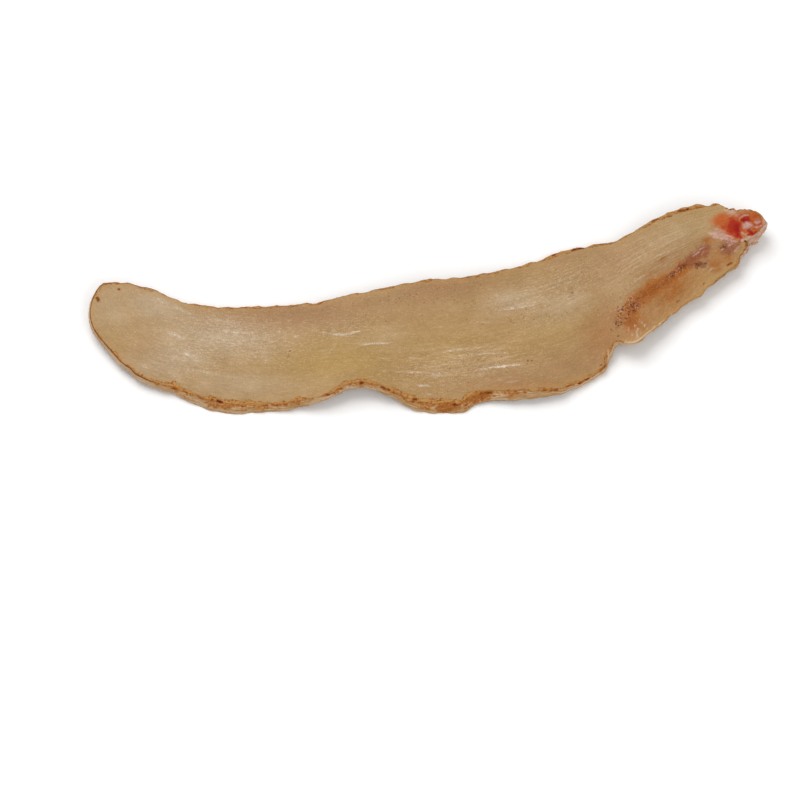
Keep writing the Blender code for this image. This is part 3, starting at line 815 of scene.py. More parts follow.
    pits: Marks = each(
        Streak,
        (35.6, -13.1, 35.7, -13.1, 0.34, 1.15), (20.6, -12.8, 20.7, -12.8, 0.3, 1.03),
        (21.4, -12.8, 21.5, -12.8, 0.3, 1.03), (-28.3, -10.3, -28.2, -10.3, 0.3, 1.03),
        (-29.1, -11.1, -28.9, -11.2, 0.34, 0.69), (-28.5, -12.2, -28.4, -12.2, 0.3, 0.69),
        (29.5, 2.9, 30.1, 3, 0.34, 0.92), (40.1, -1.1, 40.2, -1.1, 0.34, 1.15),
        (41.8, 0.4, 41.9, 0.4, 0.3, 1.03), (43.4, -0.5, 43.6, -0.4, 0.34, 1.15),
        (42.6, -1.7, 42.7, -1.7, 0.3, 1.03), (38.8, -3.9, 38.9, -3.9, 0.34, 1.03),
        (38, -5.8, 38.1, -5.8, 0.3, 0.92), (39.1, -7.2, 39.2, -7.2, 0.3, 0.92),
        (40.4, -3.2, 40.5, -3.2, 0.3, 0.92), (-65.8, -8.2, -65.5, -8.6, 0.5, 0.45),
        (8, -3.6, 8.1, -3.6, 0.3, 0.8), (12.4, 1.2, 12.5, 1.2, 0.3, 0.8),
        (16.4, -4, 16.5, -4, 0.3, 0.69), (-2.6, 0.8, -2.5, 0.8, 0.3, 0.69),
    )
    specks: Marks = each(
        Patch,
        (0, 1.5, 13, 4, 0.15, 0.75), (21, -2.5, 9, 3.2, 0.2, 0.85), (32, 8, 7, 4, 0.4, 0.35),
        (40.4, -1.8, 3, 2.4, 0.9, 0.8), (38, -5, 2.4, 3.6, 0, 0.6), (13, -14, 14, 5, 0.1, 0.3),
        (40, 3, 8, 3, 0.8, 0.4), (-10, -2, 8, 3, 0.1, 0.35), (48.4, 10, 1.8, 1, 0.5, 0.9),
    )
    bud_relief: Marks = each(
        Streak,
        (66.2, 17.2, 67, 17.1, 0.6, 0.34), (65.6, 18.4, 66.7, 18.1, 0.45, -0.34),
        (66.8, 16.2, 67.3, 15.5, 0.42, -0.32), (64.8, 16.6, 65, 15.2, 0.5, -0.16),
        (69.6, 18.4, 69.3, 16.5, 0.38, 0.3), (69.3, 16.5, 68.6, 15.4, 0.38, 0.3),
        (68.6, 15.4, 66.8, 14.6, 0.4, 0.28), (68.7, 18, 68.3, 16.4, 0.3, -0.22),
        (65.1, 19.4, 66.8, 19.4, 0.35, 0.24), (64.9, 18.6, 65.3, 17.8, 0.28, 0.2),
        (59.4, 16.2, 62.6, 14.9, 0.4, 0.12), (68, 19.4, 68.8, 18.8, 0.5, 0.2),
    )
    lower_band: Pairs = (
        (-70, 0.25), (-60, 0.3), (-55, 0.6), (-50, 0.8), (-46, 0.9), (-36, 0.7), (-28, 0.6),
        (-20, 0.6), (-12, 0.8), (-4, 0.9), (1, 0.9), (8, 0.9), (11, 0.35), (20, 0.35), (28, 0.4),
        (35, 0.6), (38, 0.4), (42, -0.3), (54, -0.3), (58, -0.1), (64, 0.1), (70, -0.2),
    )
    upper_band: Pairs = (
        (-70, 0.3), (-60, 0.25), (-45, 0.28), (-38, 0.4), (-30, 0.3), (-10, 0.28), (10, 0.3),
        (22, 0.4), (28, 0.6), (33, 0.5), (38, 0.6), (43, 0.4), (46, 0.6), (50, 0.95), (54, 0.9),
        (57, 0.5), (62, 0.4), (65, 0.3), (70, 0.3),
    )
    pale_wall: Pairs = (
        (-70, 1), (-60, 1), (-54, 0.5), (-48, 0.1), (36, 0.1), (40, 0.8), (56, 0.6), (62, 0.3),
        (66, 0.5), (70, 0.8),
    )
    rusty_wall: Pairs = (
        (-70, -0.6), (-54, -0.3), (-44, 0.1), (-2, 0.1), (3, 0.5), (11, 0.5), (14, 0.1), (70, -0.1),
    )

    def band(self, xy: Array, across: Array) -> Array:
        """Width of the rind's band on a face, beside the nearer long edge."""
        x = xy[..., 0]
        return np.where(across > 0, along_x(self.upper_band, x), along_x(self.lower_band, x))

    def band_share(self, xy: Array, edge: Array, across: Array) -> Array:
        """How much of the rind's band there is, from 0 inside to 1 at the edge."""
        return np.clip(1 - edge / self.band(xy, across), 0, 1)


@dataclass
class FineSlice:
    """The whole slice on a fine grid: two cut faces and the rind wall between them."""

    form: SliceForm = field(default_factory=SliceForm)
    marks: Markings = field(default_factory=Markings)
    rows: int = 104
    wall_rows: int = 8
    measuring_steps: int = 2000
    body_step: float = 0.40
    end_step: float = 0.22
    bud_step: float = 0.16
    root_fine: Span = (0.0, 6.0)
    bud_fine: Span = (5.0, 13.0)
    fringe: float = 0.04
    bud_fringe: float = 5.0
    bud_fringe_ends: Span = (9.0, 6.0)
    root_calm: Span = (0.0, 3.0)
    bud_calm: Span = (0.0, 1.0)
    fringe_noise: Noise = Noise(40, 1.2)
    relief_warp: float = 0.25
    fine_ridge: float = 0.022
    ridge_noise: Noise = Noise(3, 1 / 7.0, 18.0, 2)
    pebble: float = 0.03
    pebble_noise: Noise = Noise(5, 0.5, 9.0)
    crumb: float = 0.16
    crumb_noise: Noise = Noise(8, 1.7, 1.7)
    amber_crumbs: float = 0.3
    band_crumbs: float = 0.5
    bud_crumbs: float = 0.7
    bud_crumbs_from: Span = (64.0, 66.0)
    fleck_lift: float = 0.14
    proud_rind: float = 0.07
    proud_reach: float = 0.5
    proud_least: float = 0.6
    proud_noise: Noise = Noise(12, 0.7, 1.0, 1)
    proud_row: float = 2.0
    edge_drop: float = 0.10
    drop_reach: float = 0.12
    wall_wrinkle: float = 0.13
    bud_wrinkle: float = 1.0
    bud_wrinkle_from: Span = (62.0, 66.0)
    wrinkle_noise: Noise = Noise(21, 1.0, 4.5)
    ring_noise: Noise = Noise(23, 0.12, 8.0, 1)
    ring_share: float = 0.7
    tangent_reach: int = 3
    fibre_width: float = 12.0
    under_shift: Span = (7.0, 2.5)
    under_share: float = 0.45
    on_top: Span = (0.0, 0.9)
    on_faces: Span = (0.6, 1.0)
    on_wall: Span = (0.0, 0.25)
    rim_least: float = 0.45
    rim_root: Span = (54.0, 60.0)
    bud_skin: Span = (61.5, 67.5)
    soft_warp: float = 0.35
    soft_marks: tuple[str, ...] = (
        "frost", "yellow", "grey", "rosy", "tawny", "lined", "specks", "pores", "amber", "purple",
        "orange", "coral",
    )
    sharp_warp: float = 0.12
    sharp_marks: tuple[str, ...] = ("crust", "deep", "blush", "cream", "lip", "flecks", "pits")
    shift: tuple[float, float, float] = (-0.3927, 0.2195, 0.0)

    def columns(self) -> Array:
        """Places of the columns along the slice, closer at its two ends.

        Returns:
            Rising places in the outline's knots.
        """
        length = float(self.form.knots()[-1])
        fine = np.linspace(0.0, length, self.measuring_steps)
        past_bud, past_root = fade(length - fine, *self.bud_fine), fade(fine, *self.root_fine)
        step = np.minimum(
            self.bud_step + (self.body_step - self.bud_step) * past_bud,
            self.end_step + (self.body_step - self.end_step) * past_root,
        )
        count = np.concatenate([[0.0], np.cumsum(np.diff(fine) / ((step[1:] + step[:-1]) / 2))])
        return np.interp(np.linspace(0.0, count[-1], int(count[-1])), count, fine)

    def row_places(self) -> Array:
        """Where each row stands across the slice, halfway between even and bunched at the edges."""
        even = np.linspace(0.0, 1.0, self.rows + 1)
        return (even + (1 - np.cos(math.pi * even)) / 2) / 2

    def fringes(self, at: Array) -> dict[Side, Array]:
        """Fine raggedness of the two long edges.

        Args:
            at: places of the columns.

        Returns:
            One offset for each column of each edge.
        """
        to_bud = at[-1] - at
        calm = fade(at, *self.root_calm) * fade(to_bud, *self.bud_calm)
        size = self.fringe * (1 + self.bud_fringe * fade(to_bud, *self.bud_fringe_ends)) * calm
        return {side: size * self.fringe_noise.at(at, 0.0, int(side)) for side in Side}

    def crumbling(self, face: Face, xy: Array, edge: Array, across: Array) -> Array:
        """How crumbly a face's points are.

        Args:
            face: which face.
            xy: the points in plan.
            edge: distance from the nearer long edge.
            across: distance across the fibres.

        Returns:
            A share from 0 to 1 for each point.
        """
        wandering = warped(xy, self.relief_warp)
        shares = [
            marked(self.marks.crust, wandering),
            self.amber_crumbs * marked(self.marks.amber, wandering),
            self.band_crumbs * self.marks.band_share(xy, edge, across),
        ]
        if face is Face.TOP:
            shares.append(self.bud_crumbs * fade(xy[..., 0], *self.bud_crumbs_from))
        return np.max(shares, axis=0)

    def relief(self, face: Face, xy: Array, edge: Array) -> Array:
        """Height of the finer forms that the solid doesn't have.

        Args:
            face: which face.
            xy: the points in plan.
            edge: distance from the nearer long edge.

        Returns:
            One height for each point, out of the face.
        """
        along, across = self.form.fibre_place(xy)
        fine = self.fine_ridge * self.ridge_noise.at(along, across, int(face))
        fine += self.pebble * self.pebble_noise.at(along, across, int(face))
        crumbs = self.crumb * self.crumb_noise.at(xy[..., 0], xy[..., 1], int(face))
        flecks = self.fleck_lift * marked(self.marks.flecks, warped(xy, self.relief_warp))
        uneven = self.proud_least + self.proud_noise.at(along, self.proud_row)
        proud = self.proud_rind * np.exp(-((edge / self.proud_reach) ** 2)) * uneven
        drop = self.edge_drop * np.exp(-((edge / self.drop_reach) ** 2))
        relief = fine + crumbs * self.crumbling(face, xy, edge, across) + flecks + proud - drop
        if face is Face.TOP:
            relief = relief + sum(mark.at(xy) for mark in self.marks.bud_relief)
        return relief

    def face_points(self, face: Face, at: Array, t: Array) -> Array:
        """Points of one face with the solid's relief and the finer relief on it.

        Args:
            face: which face.
            at: places of the columns.
            t: places of the rows.

        Returns:
            An array of columns by rows by 3, in millimetres.
        """
        xy = self.form.plan(face, at, t, self.fringes(at))
        edge = np.minimum(t, 1 - t)[None] * np.linalg.norm(xy[:, -1] - xy[:, 0], axis=1)[:, None]
        z = self.form.heights(face, xy, t) + int(face) * self.relief(face, xy, edge)
        if face is Face.UNDER:
            z = np.maximum(z, 0.0)
        return np.concatenate([xy, z[..., None]], axis=-1)

    def border(self, columns: int, rows: int) -> Array:
        """The grid places round the slice, anticlockwise from the lower edge's root end.

        Args:
            columns: the last column's number.
            rows: the last row's number.

        Returns:
            A column and a row for each place.
        """
        lower = [(i, 0) for i in range(columns)]
        bud = [(columns, j) for j in range(rows)]
        upper = [(i, rows) for i in range(columns, 0, -1)]
        root = [(0, j) for j in range(rows, 0, -1)]
        return np.array(lower + bud + upper + root)

    def wall_points(self, top: Array, under: Array) -> Array:
        """Points of the rind wall between the two faces' borders, wrinkled.

        Args:
            top: border points of the top face.
            under: border points of the underside.

        Returns:
            An array of wall rows by border places by 3.
        """
        middle = (top + under) / 2
        reach = self.tangent_reach
        tangent = np.roll(middle, -reach, axis=0) - np.roll(middle, reach, axis=0)
        tangent /= np.linalg.norm(tangent[:, :2], axis=1)[:, None]
        out = np.stack([tangent[:, 1], -tangent[:, 0], np.zeros(len(tangent))], axis=1)
        run = run_of(np.concatenate([middle, middle[:1]]))[:-1]
        at_bud = fade(middle[:, 0], *self.bud_wrinkle_from)
        wrinkling = self.wall_wrinkle * (1 + self.bud_wrinkle * at_bud)
        rows = []
        for k in range(1, self.wall_rows):
            share = k / self.wall_rows
            belly = 1 - (2 * share - 1) ** 2
            wrinkle, rings = self.wrinkle_noise.at(run, share), self.ring_noise.at(run, share)
            uneven = wrinkle + self.ring_share * rings
            swell = self.form.rind_bulge * belly + wrinkling * math.sqrt(belly) * uneven
            rows.append(top * (1 - share) + under * share + out * swell[:, None])
        return np.array(rows)

    def mesh(self) -> tuple[Array, Array, dict[str, Array]]:
        """The slice's points, its faces with four corners, and what marks each point.

        Returns:
            Points in millimetres, faces, and one array for each attribute name.
        """
        at, t = self.columns(), self.row_places()
        top, under = self.face_points(Face.TOP, at, t), self.face_points(Face.UNDER, at, t)
        columns, rows = len(at) - 1, self.rows
        places = self.border(columns, rows)
        ring = places[:, 0] * (rows + 1) + places[:, 1]
        count = (columns + 1) * (rows + 1)
        top, under = top.reshape(-1, 3), under.reshape(-1, 3)
        wall = self.wall_points(top[ring], under[ring])
        i, j = np.meshgrid(np.arange(columns), np.arange(rows), indexing="ij")
        a = (i * (rows + 1) + j).reshape(-1)
        b, c, d = a + rows + 1, a + rows + 2, a + 1
        faces = [np.stack([a, b, c, d], 1), np.stack([a, d, c, b], 1) + count]
        wall_loops = 2 * count + np.arange(len(wall) * len(ring)).reshape(len(wall), -1)
        loops = [ring, *wall_loops, ring + count]
        for high, low in zip(loops, loops[1:]):
            faces.append(np.stack([high, low, np.roll(low, -1), np.roll(high, -1)], 1))
        depth = 1 - 2 * np.arange(1, self.wall_rows) / self.wall_rows
        level = np.concatenate([np.ones(count), -np.ones(count), np.repeat(depth, len(ring))])
        on_faces = gap_to(top, top[ring]), gap_to(under, under[ring])
        edge = np.concatenate([*on_faces, np.zeros(wall_loops.size)])
        points = np.concatenate([top, under, wall.reshape(-1, 3)])
        return points, np.concatenate(faces), self.attributes(points, level, edge)

    def attributes(self, points: Array, level: Array, edge: Array) -> dict[str, Array]:
        """What marks each point, for the finish to read.

        Args:
            points: all points, in millimetres.
            level: 1 on the top, -1 on the underside and between them down the wall.
            edge: distance from the border.

        Returns:
            One array for each attribute name.
        """
        x, xy, marks = points[:, 0], points[:, :2], self.marks
        along, across = self.form.fibre_place(xy)
        half = self.form.rind_thickness / 2
        drop = half * (1 - np.abs(level)) * np.sign(across)
        found = {
            "fibre": np.stack([along, across * self.fibre_width + drop, half * level], axis=1),
            "level": level,
            "rind": marks.band(xy, across) - edge,
            "edge": edge,
            "wall": fade(1 - np.abs(level), *self.on_wall),
            "rim": self.rim_least + (1 - self.rim_least) * fade(-x, *self.rim_root),
            "pale_wall": along_x(marks.pale_wall, x),
            "rusty": along_x(marks.rusty_wall, x),
            "bud_skin": fade(x, *self.bud_skin),
        }
        on_top = fade(level, *self.on_top)
        through = self.under_share + (1 - self.under_share) * on_top
        soft, sharp = warped(xy, self.soft_warp), warped(xy, self.sharp_warp)
        for name in self.soft_marks:
            found[name] = marked(getattr(marks, name), soft) * through
        for name in self.sharp_marks:
            found[name] = marked(getattr(marks, name), sharp) * on_top
        moved = sharp + fade(-level, *self.on_faces)[:, None] * self.under_shift
        found["starch"] = marked(marks.starch, moved) * fade(np.abs(level), *self.on_faces)
        return found

    def build(self, material: bpy.types.Material) -> bpy.types.Object:
        """Make the slice, dress it and let it stand for its solid.

        Args:
            material: the finish of the whole slice.

        Returns:
            The new object.
        """
        points, faces, marks = self.mesh()
        points = points + self.shift
        piece = mesh_object("slice_flesh_and_rind", points, faces, material)
        for name, values in marks.items():
            kind, key = ("FLOAT_VECTOR", "vector") if values.ndim > 1 else ("FLOAT", "value")
            attribute = piece.data.attributes.new(name, kind, "POINT")
            attribute.data.foreach_set(key, values.astype(np.float32).reshape(-1))
        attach(piece, BODY)
        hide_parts(NODE)
        return piece


def mesh_object(
    name: str, points: Array, faces: Array, material: bpy.types.Material
) -> bpy.types.Object:
    """A smooth-shaded mesh object made from points in millimetres.

    Args:
        name: the object's name.
        points: one row for each point.
        faces: one row of corners for each face.
        material: its finish.

    Returns:
        The linked object.
    """
    mesh = bpy.data.meshes.new(name)
    corners = faces.shape[1]
    mesh.vertices.add(len(points))
    mesh.vertices.foreach_set("co", (points * MM).astype(np.float32).reshape(-1))
    mesh.loops.add(faces.size)
    mesh.loops.foreach_set("vertex_index", faces.astype(np.int32).reshape(-1))
    mesh.polygons.add(len(faces))
    mesh.polygons.foreach_set("loop_start", np.arange(0, faces.size, corners, dtype=np.int32))
    mesh.update(calc_edges=True)
    mesh.validate()
    mesh.shade_smooth()
    mesh.materials.append(material)
    piece = bpy.data.objects.new(name, mesh)
    bpy.context.scene.collection.objects.link(piece)
    return piece


LIGHT_GAIN = 1.135
SHEEN = 0.0175
DARKEST = 0.003
SCREEN_STEPS = 255
NOISE_MIDDLE = 0.5


def seen(red: int, green: int, blue: int) -> Colour:
    """The base colour that looks, under the studio's light, like a colour of 0 to 255 steps.

    Args:
        red: steps of red.
        green: steps of green.
        blue: steps of blue.

    Returns:
        The linear colour.
    """
    lit = Color([step / SCREEN_STEPS for step in (red, green, blue)]).from_srgb_to_scene_linear()
    return tuple(max((light - SHEEN) / LIGHT_GAIN, DARKEST) for light in lit)


class FleshPalette(Enum):
    """Colours of the cut flesh."""

    HORN = seen(178, 143, 98)
    GREY = seen(189, 164, 132)
    HONEY = seen(179, 144, 85)
    ROSY = seen(168, 129, 90)
    TAWNY = seen(172, 120, 72)
    STARCH = seen(228, 216, 200)
    SPECK = seen(150, 92, 52)
    PIT = seen(84, 32, 4)


class StainPalette(Enum):
    """Colours of the stained band and the crusts on it."""

    AMBER = seen(166, 100, 43)
    DEEP = seen(136, 74, 32)
    CRUST = seen(112, 60, 36)
    PURPLE = seen(144, 82, 60)
    SPARKLE = seen(226, 206, 184)


class RindPalette(Enum):
    """Colours of the rind."""

    WALL = seen(184, 144, 100)
    TAN = seen(192, 144, 86)
    RUST = seen(168, 94, 40)
    UMBER = seen(128, 70, 34)
    DARK = seen(84, 44, 28)
    PALE = seen(214, 184, 150)


class BudPalette(Enum):
    """Colours of the bud."""

    ORANGE = seen(192, 96, 50)
    CORAL = seen(172, 54, 24)
    DEEP = seen(156, 40, 18)
    BLUSH = seen(204, 166, 156)
    CREAM = seen(204, 170, 150)
    RIM = seen(226, 192, 174)


class Texture(NamedTuple):
    """A shader noise: its lumps for each unit of each axis, its finer layers and their strength."""

    by: tuple[float, float, float]
    detail: float
    rough: float


class Dots(NamedTuple):
    """Scattered dots: cells for each millimetre, radius, and the chances where some and all show."""

    scale: float
    size: float
    start: float
    full: float


class Coat(NamedTuple):
    """A layer of colour: the mask values where it starts and is full, how much it covers, its tone."""

    start: float
    full: float
    share: float
    tone: Enum


@dataclass(frozen=True)
class Value:
    """One output socket of a shader node, with arithmetic that adds Math nodes."""

    net: "ShaderNet"
    socket: bpy.types.NodeSocket

    def _math(self, operation: str, first: Any, second: Any) -> "Value":
        """A Math node on two values."""
        return self.net.node("ShaderNodeMath", {"operation": operation}, {0: first, 1: second})

    def __add__(self, other: Any) -> "Value":
        """The sum."""
        return self._math("ADD", self, other)

    __radd__ = __add__

    def __sub__(self, other: Any) -> "Value":
        """The difference."""
        return self._math("SUBTRACT", self, other)

    def __rsub__(self, other: Any) -> "Value":
        """The difference the other way round, as in 1 - mask."""
        return self._math("SUBTRACT", other, self)

    def __mul__(self, other: Any) -> "Value":
        """The product."""
        return self._math("MULTIPLY", self, other)

    __rmul__ = __mul__

    def greater(self, other: Any) -> "Value":
        """The larger of two values."""
        return self._math("MAXIMUM", self, other)

    def swing(self, by: float) -> "Value":
        """A noise from 0 to 1 turned into rises and falls round 0."""
        return (self - NOISE_MIDDLE) * by

    def step(self, start: float, end: float) -> "Value":
        """A soft step from 0 at start to 1 at end."""
        inputs = {"Value": self, "From Min": start, "From Max": end}
        return self.net.node("ShaderNodeMapRange", {"interpolation_type": "SMOOTHSTEP"}, inputs)


@dataclass(frozen=True)
class ShaderNet:
    """A material's node tree, and short ways to add to it."""

    tree: bpy.types.NodeTree
    dot_rim: Span = (1.5, 0.6)

    def node(
        self, kind: str, settings: Mapping[str, Any], inputs: Mapping[Any, Any], output: Any = 0
    ) -> Value:
        """Add one node.

        Args:
            kind: the node's type.
            settings: properties to set first.
            inputs: a value, a tone or a link for each socket, by name or number.
            output: the socket to return.

        Returns:
            That output socket.
        """
        made = self.tree.nodes.new(kind)
        for name, setting in settings.items():
            setattr(made, name, setting)
        for key, given in inputs.items():
            socket = made.inputs[key]
            if isinstance(given, Value):
                self.tree.links.new(given.socket, socket)
            elif socket.type == "RGBA":
                socket.default_value = (*(given.value if isinstance(given, Enum) else given), 1.0)
            else:
                socket.default_value = given
        return Value(self, made.outputs[output])

    def mark(self, name: str) -> Value:
        """A number stored on the mesh's points."""
        return self.node("ShaderNodeAttribute", {"attribute_name": name}, {}, "Fac")

    def place(self, name: str) -> Value:
        """A vector stored on the mesh's points."""
        return self.node("ShaderNodeAttribute", {"attribute_name": name}, {}, "Vector")

    def stretched(self, vector: Value, by: tuple[float, float, float]) -> Value:
        """A vector scaled along each of its axes."""
        return self.node("ShaderNodeVectorMath", {"operation": "MULTIPLY"}, {0: vector, 1: by})

    def scaled(self, colour: Value, by: Value) -> Value:
        """A colour made lighter or darker."""
        return self.node("ShaderNodeVectorMath", {"operation": "SCALE"}, {0: colour, "Scale": by})

    def noise(self, vector: Value, texture: Texture) -> Value:
        """Smooth noise from 0 to 1 over a stretched place.

        Args:
            vector: the place.
            texture: the noise's scale and layers.

        Returns:
            The noise.
        """
        inputs = {
            "Vector": self.stretched(vector, texture.by),
            "Scale": 1.0,
            "Detail": texture.detail,
            "Roughness": texture.rough,
        }
        return self.node("ShaderNodeTexNoise", {}, inputs, "Fac")

    def dots(self, vector: Value, dots: Dots, favour: Value) -> Value:
        """Scattered dots, one to a cell, of which some are left out.

        Args:
            vector: the place, in millimetres.
            dots: how close and wide they are, and which of them show.
            favour: how much likelier a dot is at each place.

        Returns:
            The dots.
        """
        settings = {"feature": "F1", "voronoi_dimensions": "2D"}
        distance = self.node("ShaderNodeTexVoronoi", settings, {"Vector": vector, "Scale": dots.scale})
        colour = Value(self, distance.socket.node.outputs["Color"])
        random = self.node("ShaderNodeSeparateColor", {}, {0: colour})
        dot = distance.step(*(share * dots.size * dots.scale for share in self.dot_rim))
        return dot * (random + favour).step(dots.start, dots.full)

    def blend(self, share: Any, under: Any, over: Any) -> Value:
        """One colour laid over another.

        Args:
            share: how much of the second shows.
            under: the first colour.
            over: the second colour.

        Returns:
            The mixed colour.
        """
        return self.node("ShaderNodeMix", {"data_type": "RGBA"}, {0: share, 6: under, 7: over}, 2)

    def coat(self, colour: Any, mask: Value, coat: Coat, within: Value | None = None) -> Value:
        """A coat laid on where its mask is high enough.

        Args:
            colour: the colour underneath.
            mask: what the coat's start and full values are compared with.
            coat: the coat.
            within: a second mask that limits it.

        Returns:
            The mixed colour.
        """
        shown = mask.step(coat.start, coat.full)
        if within is not None:
            shown = shown * within
        return self.blend(shown * coat.share, colour, coat.tone)


@dataclass(frozen=True)
class Grain:
    """The noises that the whole finish shares."""

    spot: Value
    fibre: Value
    clouds: Value
    strands: Value
    dashes: Value
    lines: Value
    grit: Value
    crumbs: Value

    @classmethod
    def over(cls, net: ShaderNet) -> "Grain":
        """Make the noises from the mesh's places.

        Args:
            net: the material's nodes.

        Returns:
            The shared noises.
        """
        where = net.node("ShaderNodeTexCoord", {}, {}, "Object")
        spot = net.stretched(where, (1 / MM, 1 / MM, 1 / MM))
        fibre = net.place("fibre")
        return cls(
            spot=spot,
            fibre=fibre,
            clouds=net.noise(spot, Texture((0.16, 0.24, 0.24), 3.0, 0.55)),
            strands=net.noise(fibre, Texture((0.35, 1.3, 1.0), 3.0, 0.6)),
            dashes=net.noise(fibre, Texture((0.9, 3.2, 1.0), 3.0, 0.65)),
            lines=net.noise(fibre, Texture((0.09, 2.1, 1.0), 3.0, 0.55)),
            grit=net.noise(spot, Texture((3.4, 3.4, 3.4), 3.0, 0.75)),
            crumbs=net.noise(spot, Texture((1.5, 1.5, 1.5), 4.0, 0.65)),
        )


@dataclass(frozen=True)
class Bark:
    """The noises and marks that the parts of the rind share."""

    gaps: Value
    flakes: Value
    chips: Value
    layers: Value
    wall: Value
    level: Value
    rim: Value
    chip_share: ClassVar[float] = 0.6

    @classmethod
    def over(cls, net: ShaderNet, grain: Grain) -> "Bark":
        """Make the noises and read the marks.

        Args:
            net: the material's nodes.
            grain: the shared noises.

        Returns:
            What the rind's parts share.
        """
        flakes = net.noise(grain.fibre, Texture((0.7, 1.8, 1.8), 4.0, 0.65))
        chips = net.noise(grain.spot, Texture((2.3, 2.3, 2.3), 3.0, 0.6))
        return cls(
            gaps=net.noise(grain.spot, Texture((0.32, 0.32, 0.32), 2.0, 0.5)),
            flakes=flakes,
            chips=chips * cls.chip_share + flakes * (1 - cls.chip_share),
            layers=net.noise(grain.fibre, Texture((0.22, 0.5, 3.6), 3.0, 0.6)),
            wall=net.mark("wall"),
            level=net.mark("level"),
            rim=net.mark("rim"),
        )


@dataclass(frozen=True)
class Finish:
    """A part of the finish, with the material's nodes and the shared noises to work with."""

    net: ShaderNet
    grain: Grain


@dataclass(frozen=True)
class BarkFinish(Finish):
    """A part of the rind's finish, with the rind's own noises and marks as well."""

    bark: Bark


@dataclass(frozen=True)
class FleshFinish(Finish):
    """Horny cut flesh: mottled, grained along its fibres, with starch streaks, frost and pin specks."""

    patching: float = 0.9
    grey_clouding: float = 0.8
    rosy_strands_from: float = 0.6
    tawny_least: float = 0.5
    clouding: float = 0.30
    stranding: float = 0.26
    dashing: float = 0.34
    lining: float = 0.30
    gritting: float = 0.62
    stain_gritting: float = 0.75
    frost_mix: float = 0.5
    frost_edge: Span = (0.52, 0.66)
    frost_spread: float = 0.07
    frost_least: float = 0.10
    frost_more: float = 0.20
    thread_edge: Span = (0.50, 0.70)
    thread_least: float = 0.3
    threading: float = 0.24
    starch_gain: float = 1.2
    milk: Coat = Coat(0.05, 0.7, 0.30, FleshPalette.STARCH)
    milk_least: float = 0.1
    grains: Coat = Coat(0.34, 0.66, 0.60, FleshPalette.STARCH)
    grain_mark: float = 0.55
    grain_dashes: float = 1.3
    grain_grit: float = 1.1
    grain_limit: Span = (0.08, 0.4)
    clumps: Texture = Texture((0.7, 0.7, 0.7), 2.0, 0.5)
    clumps_from: float = 0.40
    rust_specks: Dots = Dots(1.9, 0.14, 0.985, 1.03)
    rust_favour: float = 1.5
    rust_share: float = 1.3
    dark_specks: Dots = Dots(0.8, 0.13, 0.99, 1.02)
    dark_favour: float = 0.7
    dark_share: float = 0.45
    pits: Coat = Coat(0.40, 0.85, 0.75, FleshPalette.PIT)

    def dress(self) -> Value:
        """The mottled tones of the flesh.

        Returns:
            The colour.
        """
        net, grain = self.net, self.grain
        grey = net.mark("grey") * self.patching + grain.clouds.swing(self.grey_clouding)
        rosy = net.mark("rosy") * self.patching + (grain.strands - self.rosy_strands_from)
        colour = net.blend(grey, FleshPalette.HORN, FleshPalette.GREY)
        colour = net.blend(net.mark("yellow") * self.patching, colour, FleshPalette.HONEY)
        colour = net.blend(rosy, colour, FleshPalette.ROSY)
        tawny = net.mark("tawny") * (self.tawny_least + grain.clouds)
        return net.blend(tawny, colour, FleshPalette.TAWNY)

    def lightness(self) -> Value:
        """How much lighter or darker each place is than its tone.

        Returns:
            A factor round 1.
        """
        net, grain = self.net, self.grain
        light = grain.clouds.swing(self.clouding) + grain.strands.swing(self.stranding) + 1.0
        light = light + grain.dashes.swing(self.dashing) + grain.grit.swing(self.gritting)
        stained = net.mark("amber").greater(net.mark("purple"))
        light = light + grain.grit.swing(self.stain_gritting) * stained
        return light + grain.lines.swing(self.lining) * net.mark("lined")

    def starch(self, colour: Value) -> Value:
        """Lay the white starch streaks and the fine frost on, broken up along the fibres.

        Args:
            colour: the colour underneath.

        Returns:
            The new colour.
        """
        net, grain = self.net, self.grain
        frosted, lined = net.mark("frost"), net.mark("lined")
        frost = (grain.dashes + grain.grit) * self.frost_mix + frosted * self.frost_spread
        shown = frost.step(*self.frost_edge) * (frosted * self.frost_more + self.frost_least)
        colour = net.blend(shown, colour, FleshPalette.STARCH)
        threads = grain.lines.step(*self.thread_edge) * (self.thread_least + grain.strands)
        colour = net.blend(threads * lined * self.threading, colour, FleshPalette.STARCH)
        mask = net.mark("starch") * self.starch_gain
        colour = net.coat(colour, mask * (grain.strands + self.milk_least), self.milk)
        grains = mask * self.grain_mark + grain.dashes.swing(self.grain_dashes)
        grains = grains + grain.grit.swing(self.grain_grit)
        return net.coat(colour, grains, self.grains, mask.step(*self.grain_limit))

    def specks(self, colour: Value) -> Value:
        """Lay the rust-coloured pin specks, the fewer dark ones and the pits on.

        Args:
            colour: the colour underneath.

        Returns:
            The new colour.
        """
        net, grain = self.net, self.grain
        clumped = net.mark("specks") * (net.noise(grain.spot, self.clumps) - self.clumps_from)
        rust = net.dots(grain.spot, self.rust_specks, clumped * self.rust_favour)
        colour = net.blend(rust * (grain.crumbs * self.rust_share), colour, FleshPalette.SPECK)
        dark = net.dots(grain.fibre, self.dark_specks, clumped * self.dark_favour)
        colour = net.blend(dark * self.dark_share, colour, FleshPalette.PIT)
        return net.coat(colour, net.mark("pits"), self.pits)


